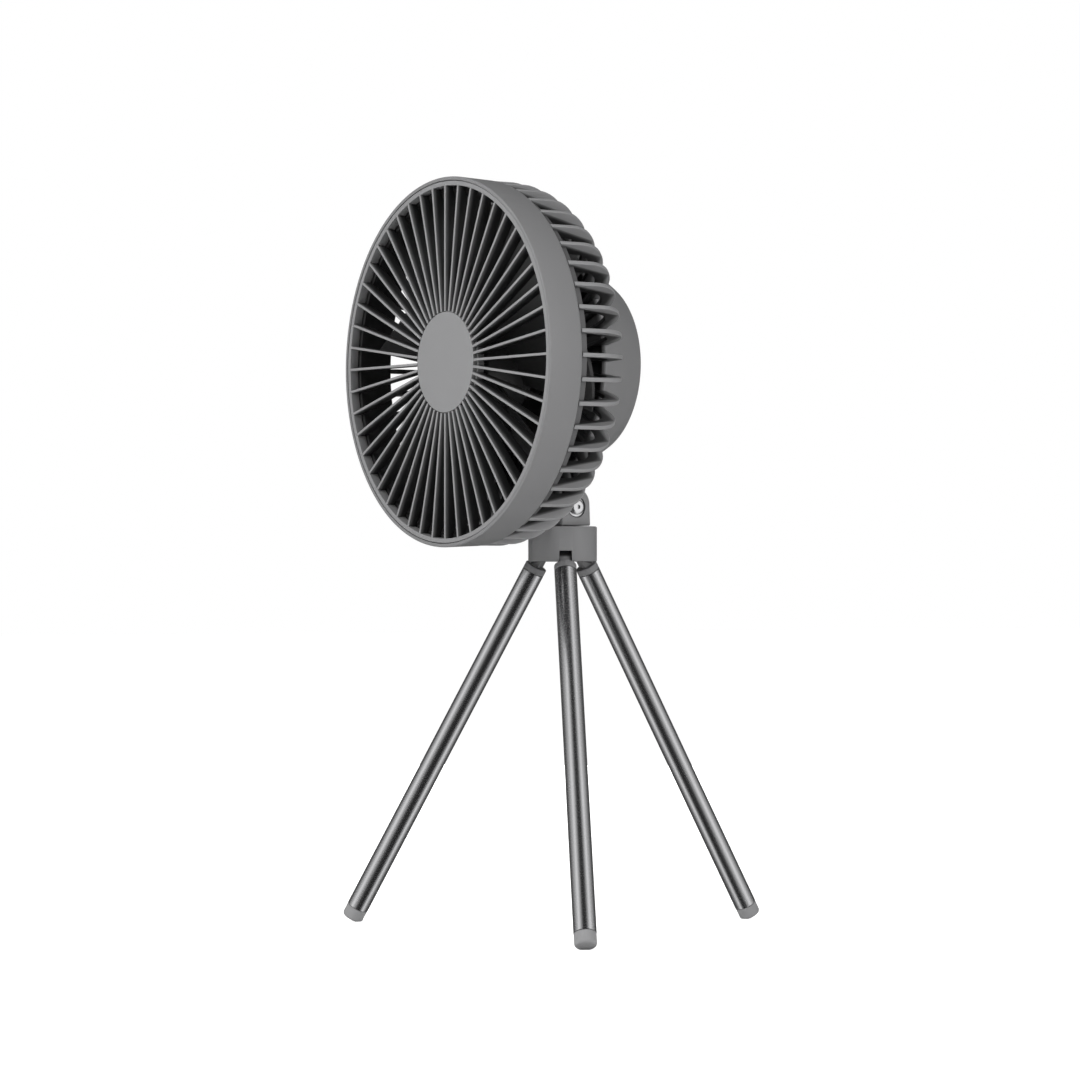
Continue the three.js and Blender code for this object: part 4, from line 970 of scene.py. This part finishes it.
# %% Places and sizes of the legs
LEG_TILT = math.radians(30.1)
LEG_R = 5.5 * MM
TUBE_WALL = 0.9 * MM
COLLAR_TOP = 8.1 * MM
COLLAR_THICK = 3.2 * MM
PLUG_LENGTH = 13 * MM
LEG_LENGTH = 214 * MM
FOOT_LENGTH = 6.4 * MM
FOOT_EDGE = 1.5 * MM
FOOT_R = LEG_R - 0.1 * MM
SHADE_FULL = 3.4 * MM            # the tab is in the hub's shade as far as this from its pin
SHADE_END = 4.6 * MM
plug_r = LEG_R - TUBE_WALL - GAP
foot_top = LEG_LENGTH - FOOT_LENGTH
collar_bottom = COLLAR_TOP + COLLAR_THICK


def leg_place(leg):
    """A place at the leg's pivot whose local Z runs down the leg and whose local X is its hinge."""
    hinge = Vector(joints["leg_fold_" + leg]["axis"])
    down = outward_of(leg) * math.sin(LEG_TILT) - Vector((0, 0, 1)) * math.cos(LEG_TILT)
    axes = Matrix((hinge, down.cross(hinge), down)).transposed().to_4x4()
    return Matrix.Translation(joints["leg_fold_" + leg]["pos_m"]) @ axes


# %% Build each leg
nose_steps = 16
tab_stops = (SHADE_FULL, SHADE_END, COLLAR_TOP + 1 * MM)
tab_outline = [
    Vector((NOSE_R * math.cos(math.pi * i / nose_steps), -NOSE_R * math.sin(math.pi * i / nose_steps)))
    for i in range(nose_steps + 1)
] + [Vector((-NOSE_R, along)) for along in tab_stops] + [Vector((NOSE_R, along)) for along in tab_stops[::-1]]
ACROSS = Matrix(((0, 0, 1), (1, 0, 0), (0, 1, 0))).to_4x4()

for leg in LEG_NAMES:
    place = leg_place(leg)
    body = "leg_" + leg
    tab = bevelled(prism("knuckle_tab_" + leg, tab_outline, TAB_HALF, place @ ACROSS), 0.3 * MM, 2)
    dress(tab, shell_finish, body, "shell_plastic")
    into_leg = place.inverted()
    # Painted shade on the tab where it sits inside the hub, darkest near its pin.
    mark_painted_shade(tab, lambda point: (SHADE_END - (into_leg @ point).z) / (SHADE_END - SHADE_FULL))
    plug = turned("knuckle_plug_" + leg, filleted([
        (0, COLLAR_TOP, 0), (LEG_R, COLLAR_TOP, 0.5 * MM), (LEG_R, collar_bottom, 0.15 * MM),
        (plug_r, collar_bottom, 0), (plug_r, collar_bottom + PLUG_LENGTH, 0.5 * MM),
        (0, collar_bottom + PLUG_LENGTH, 0),
    ]), place, 96)
    dress(plug, shell_finish, body, "shell_plastic", "leg_knuckle_" + leg)
    tube = turned("tube_" + leg, ring_outline(
        LEG_R, LEG_R - TUBE_WALL, collar_bottom + GAP, foot_top - GAP, 0.12 * MM,
    ), place, 128)
    dress(tube, tube_finish, body, "gunmetal_tube", "leg_tube_" + leg)
    foot = turned("foot_" + leg, filleted([
        (0, foot_top - PLUG_LENGTH, 0), (plug_r, foot_top - PLUG_LENGTH, 0.5 * MM), (plug_r, foot_top, 0),
        (FOOT_R, foot_top, 0.15 * MM), (FOOT_R, LEG_LENGTH, FOOT_EDGE), (0, LEG_LENGTH, 0),
    ], 8), place, 96)
    floor_depth = 4 * LEG_R
    carved(foot, radial_prism("ground", leg, floor_depth, [
        (0, -floor_depth), (LEG_LENGTH, -floor_depth), (LEG_LENGTH, 0), (0, 0),
    ]))
    dress(foot, foot_finish, body, "foot_rubber", "leg_foot_" + leg)

# %% [markdown]
# ## Parts inside
#
# The motor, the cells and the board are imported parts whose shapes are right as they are. They show only
# in slivers between the ribs, so they keep their meshes and get their finishes.

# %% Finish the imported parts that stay
FINISH_OF_SLOT = {
    "shell_plastic": shell_finish,
    "cage_plastic": grille_finish,
    "cap_plastic": cap_finish,
    "rotor_plastic": rotor_finish,
    "inner_plastic": inner_finish,
    "magnet": inner_finish,
    "gunmetal_tube": tube_finish,
    "foot_rubber": foot_finish,
    "steel": steel_finish,
    "motor_metal": motor_finish,
    "windings": copper_finish,
    "battery_wrap": cell_finish,
    "circuit_board": board_finish,
    "clear_plastic": lens_finish,
}
for part in frame["record"]["subparts"]:
    node = frame["nodes"][part["node"]]
    node.data.materials.clear()
    node.data.materials.append(FINISH_OF_SLOT[part["material_slot"]])

# %% [markdown]
# ## Studio
#
# A pale sweep, a soft world and four large softboxes. The softboxes give diffuse light only; the pair of
# bright lines down each leg comes from the world's bands.

# %% Floor
floor_mesh = bpy.data.meshes.new("studio_floor")
FLOOR_HALF = 12.0
FLOOR_GLOW = 0.72                # as the camera sees it; it lights nothing
corners = [(-1, -1), (1, -1), (1, 1), (-1, 1)]
floor_mesh.from_pydata([(x * FLOOR_HALF, y * FLOOR_HALF, 0) for x, y in corners], [], [(0, 1, 2, 3)])
floor = bpy.data.objects.new("studio_floor", floor_mesh)
bpy.context.collection.objects.link(floor)
floor_paint = bpy.data.materials.new("floor_paint")
floor_paint.use_nodes = True
sweep = floor_paint.node_tree.nodes["Principled BSDF"]
sweep.inputs["Base Color"].default_value = (0.92, 0.92, 0.92, 1)
sweep.inputs["Roughness"].default_value = 0.8
sweep.inputs["Specular IOR Level"].default_value = 0.1
sweep.inputs["Emission Color"].default_value = (1, 1, 1, 1)
eye = floor_paint.node_tree.nodes.new("ShaderNodeLightPath")
lift = floor_paint.node_tree.nodes.new("ShaderNodeMath")
lift.operation = "MULTIPLY"
lift.inputs[1].default_value = FLOOR_GLOW
floor_paint.node_tree.links.new(eye.outputs["Is Camera Ray"], lift.inputs[0])
floor_paint.node_tree.links.new(lift.outputs[0], sweep.inputs["Emission Strength"])
floor_mesh.materials.append(floor_paint)
floor.visible_glossy = False

# %% Camera
LENS = 134.67
CAMERA_DISTANCE = 2.0
CAMERA_AZIMUTH = math.radians(54.73)
CAMERA_HEIGHT = 0.16705
CAMERA_PAN = math.radians(0.32)
CAMERA_PITCH = math.radians(0.731)
camera = bpy.data.objects.new("camera", bpy.data.cameras.new("camera"))
bpy.context.collection.objects.link(camera)
camera.data.lens = LENS
camera.data.sensor_width = 36.0
camera.data.clip_end = 100
camera.location = HUB_AXIS + Vector((
    CAMERA_DISTANCE * math.sin(CAMERA_AZIMUTH), -CAMERA_DISTANCE * math.cos(CAMERA_AZIMUTH), CAMERA_HEIGHT,
))
camera.rotation_euler = (math.pi / 2 + CAMERA_PITCH, 0, CAMERA_AZIMUTH + CAMERA_PAN)
bpy.context.scene.camera = camera

# %% Lights
AIM = 0.75                       # of the height of the head's middle


def softbox(name, azimuth, elevation, distance, width, height, power):
    """A rectangular light aimed at the middle of the fan, azimuth counted from the camera's, to its right."""
    target = Vector((0, HUB_AXIS.y, HEAD_CENTRE.z * AIM))
    angle = CAMERA_AZIMUTH + math.radians(azimuth)
    lift = math.radians(elevation)
    away = Vector((math.sin(angle) * math.cos(lift), -math.cos(angle) * math.cos(lift), math.sin(lift)))
    light = bpy.data.lights.new(name, "AREA")
    light.shape = "RECTANGLE"
    light.size, light.size_y = width, height
    light.energy = power
    lamp = bpy.data.objects.new(name, light)
    lamp.location = target + away * distance
    lamp.rotation_euler = away.to_track_quat("Z", "Y").to_euler()
    lamp.visible_glossy = False
    bpy.context.collection.objects.link(lamp)
    return lamp


softbox("right_softbox", 50, 6, 1.6, 0.8, 1.6, 19)
softbox("left_softbox", -50, 28, 1.6, 0.8, 1.2, 24)
softbox("top_softbox", 10, 78, 1.7, 1.6, 1.6, 1.5)
softbox("back_softbox", 175, 12, 1.8, 1.4, 1.2, 14)

# %% [markdown]
# Polished tubes show their surroundings more than their own colour. The world therefore carries a pair
# of tall soft bands, one to each side of the camera, with darkness between them and behind. Matt
# surfaces see an even fill instead, and the camera sees white.

# %% World
FILL = 0.35
BAND_STOPS = ((0.0, 0.08), (0.2, 0.1), (0.5, 0.6), (0.7, 1.25), (0.86, 0.5), (0.97, 0.03))
world = bpy.data.worlds.new("studio")
bpy.context.scene.world = world
world.use_nodes = True
nodes, link = world.node_tree.nodes, world.node_tree.links.new
path, way = nodes.new("ShaderNodeLightPath"), nodes.new("ShaderNodeTexCoord")
level, unit, facing = (nodes.new("ShaderNodeVectorMath") for _ in range(3))
level.operation, unit.operation, facing.operation = "MULTIPLY", "NORMALIZE", "DOT_PRODUCT"
level.inputs[1].default_value = (1, 1, 0)
facing.inputs[1].default_value = (math.sin(CAMERA_AZIMUTH), -math.cos(CAMERA_AZIMUTH), 0)
bands = nodes.new("ShaderNodeValToRGB")
bands.color_ramp.interpolation = "EASE"
for position, value in BAND_STOPS[1:-1]:
    bands.color_ramp.elements.new(position)
for stop, (position, value) in zip(bands.color_ramp.elements, BAND_STOPS):
    stop.position, stop.color = position, (value, value, value, 1)
span = nodes.new("ShaderNodeMapRange")
span.inputs["From Min"].default_value = -1.0
strength, seen = nodes.new("ShaderNodeMix"), nodes.new("ShaderNodeMix")
strength.inputs["A"].default_value = FILL
seen.inputs["B"].default_value = 1.0
link(way.outputs["Generated"], level.inputs[0])
link(level.outputs[0], unit.inputs[0])
link(unit.outputs[0], facing.inputs[0])
link(facing.outputs["Value"], span.inputs["Value"])
link(span.outputs[0], bands.inputs[0])
link(path.outputs["Is Glossy Ray"], strength.inputs["Factor"])
link(bands.outputs[0], strength.inputs["B"])
link(path.outputs["Is Camera Ray"], seen.inputs["Factor"])
link(strength.outputs["Result"], seen.inputs["A"])
nodes["Background"].inputs["Color"].default_value = (1, 1, 1, 1)
link(seen.outputs["Result"], nodes["Background"].inputs["Strength"])
bpy.context.scene.view_settings.view_transform = "Standard"
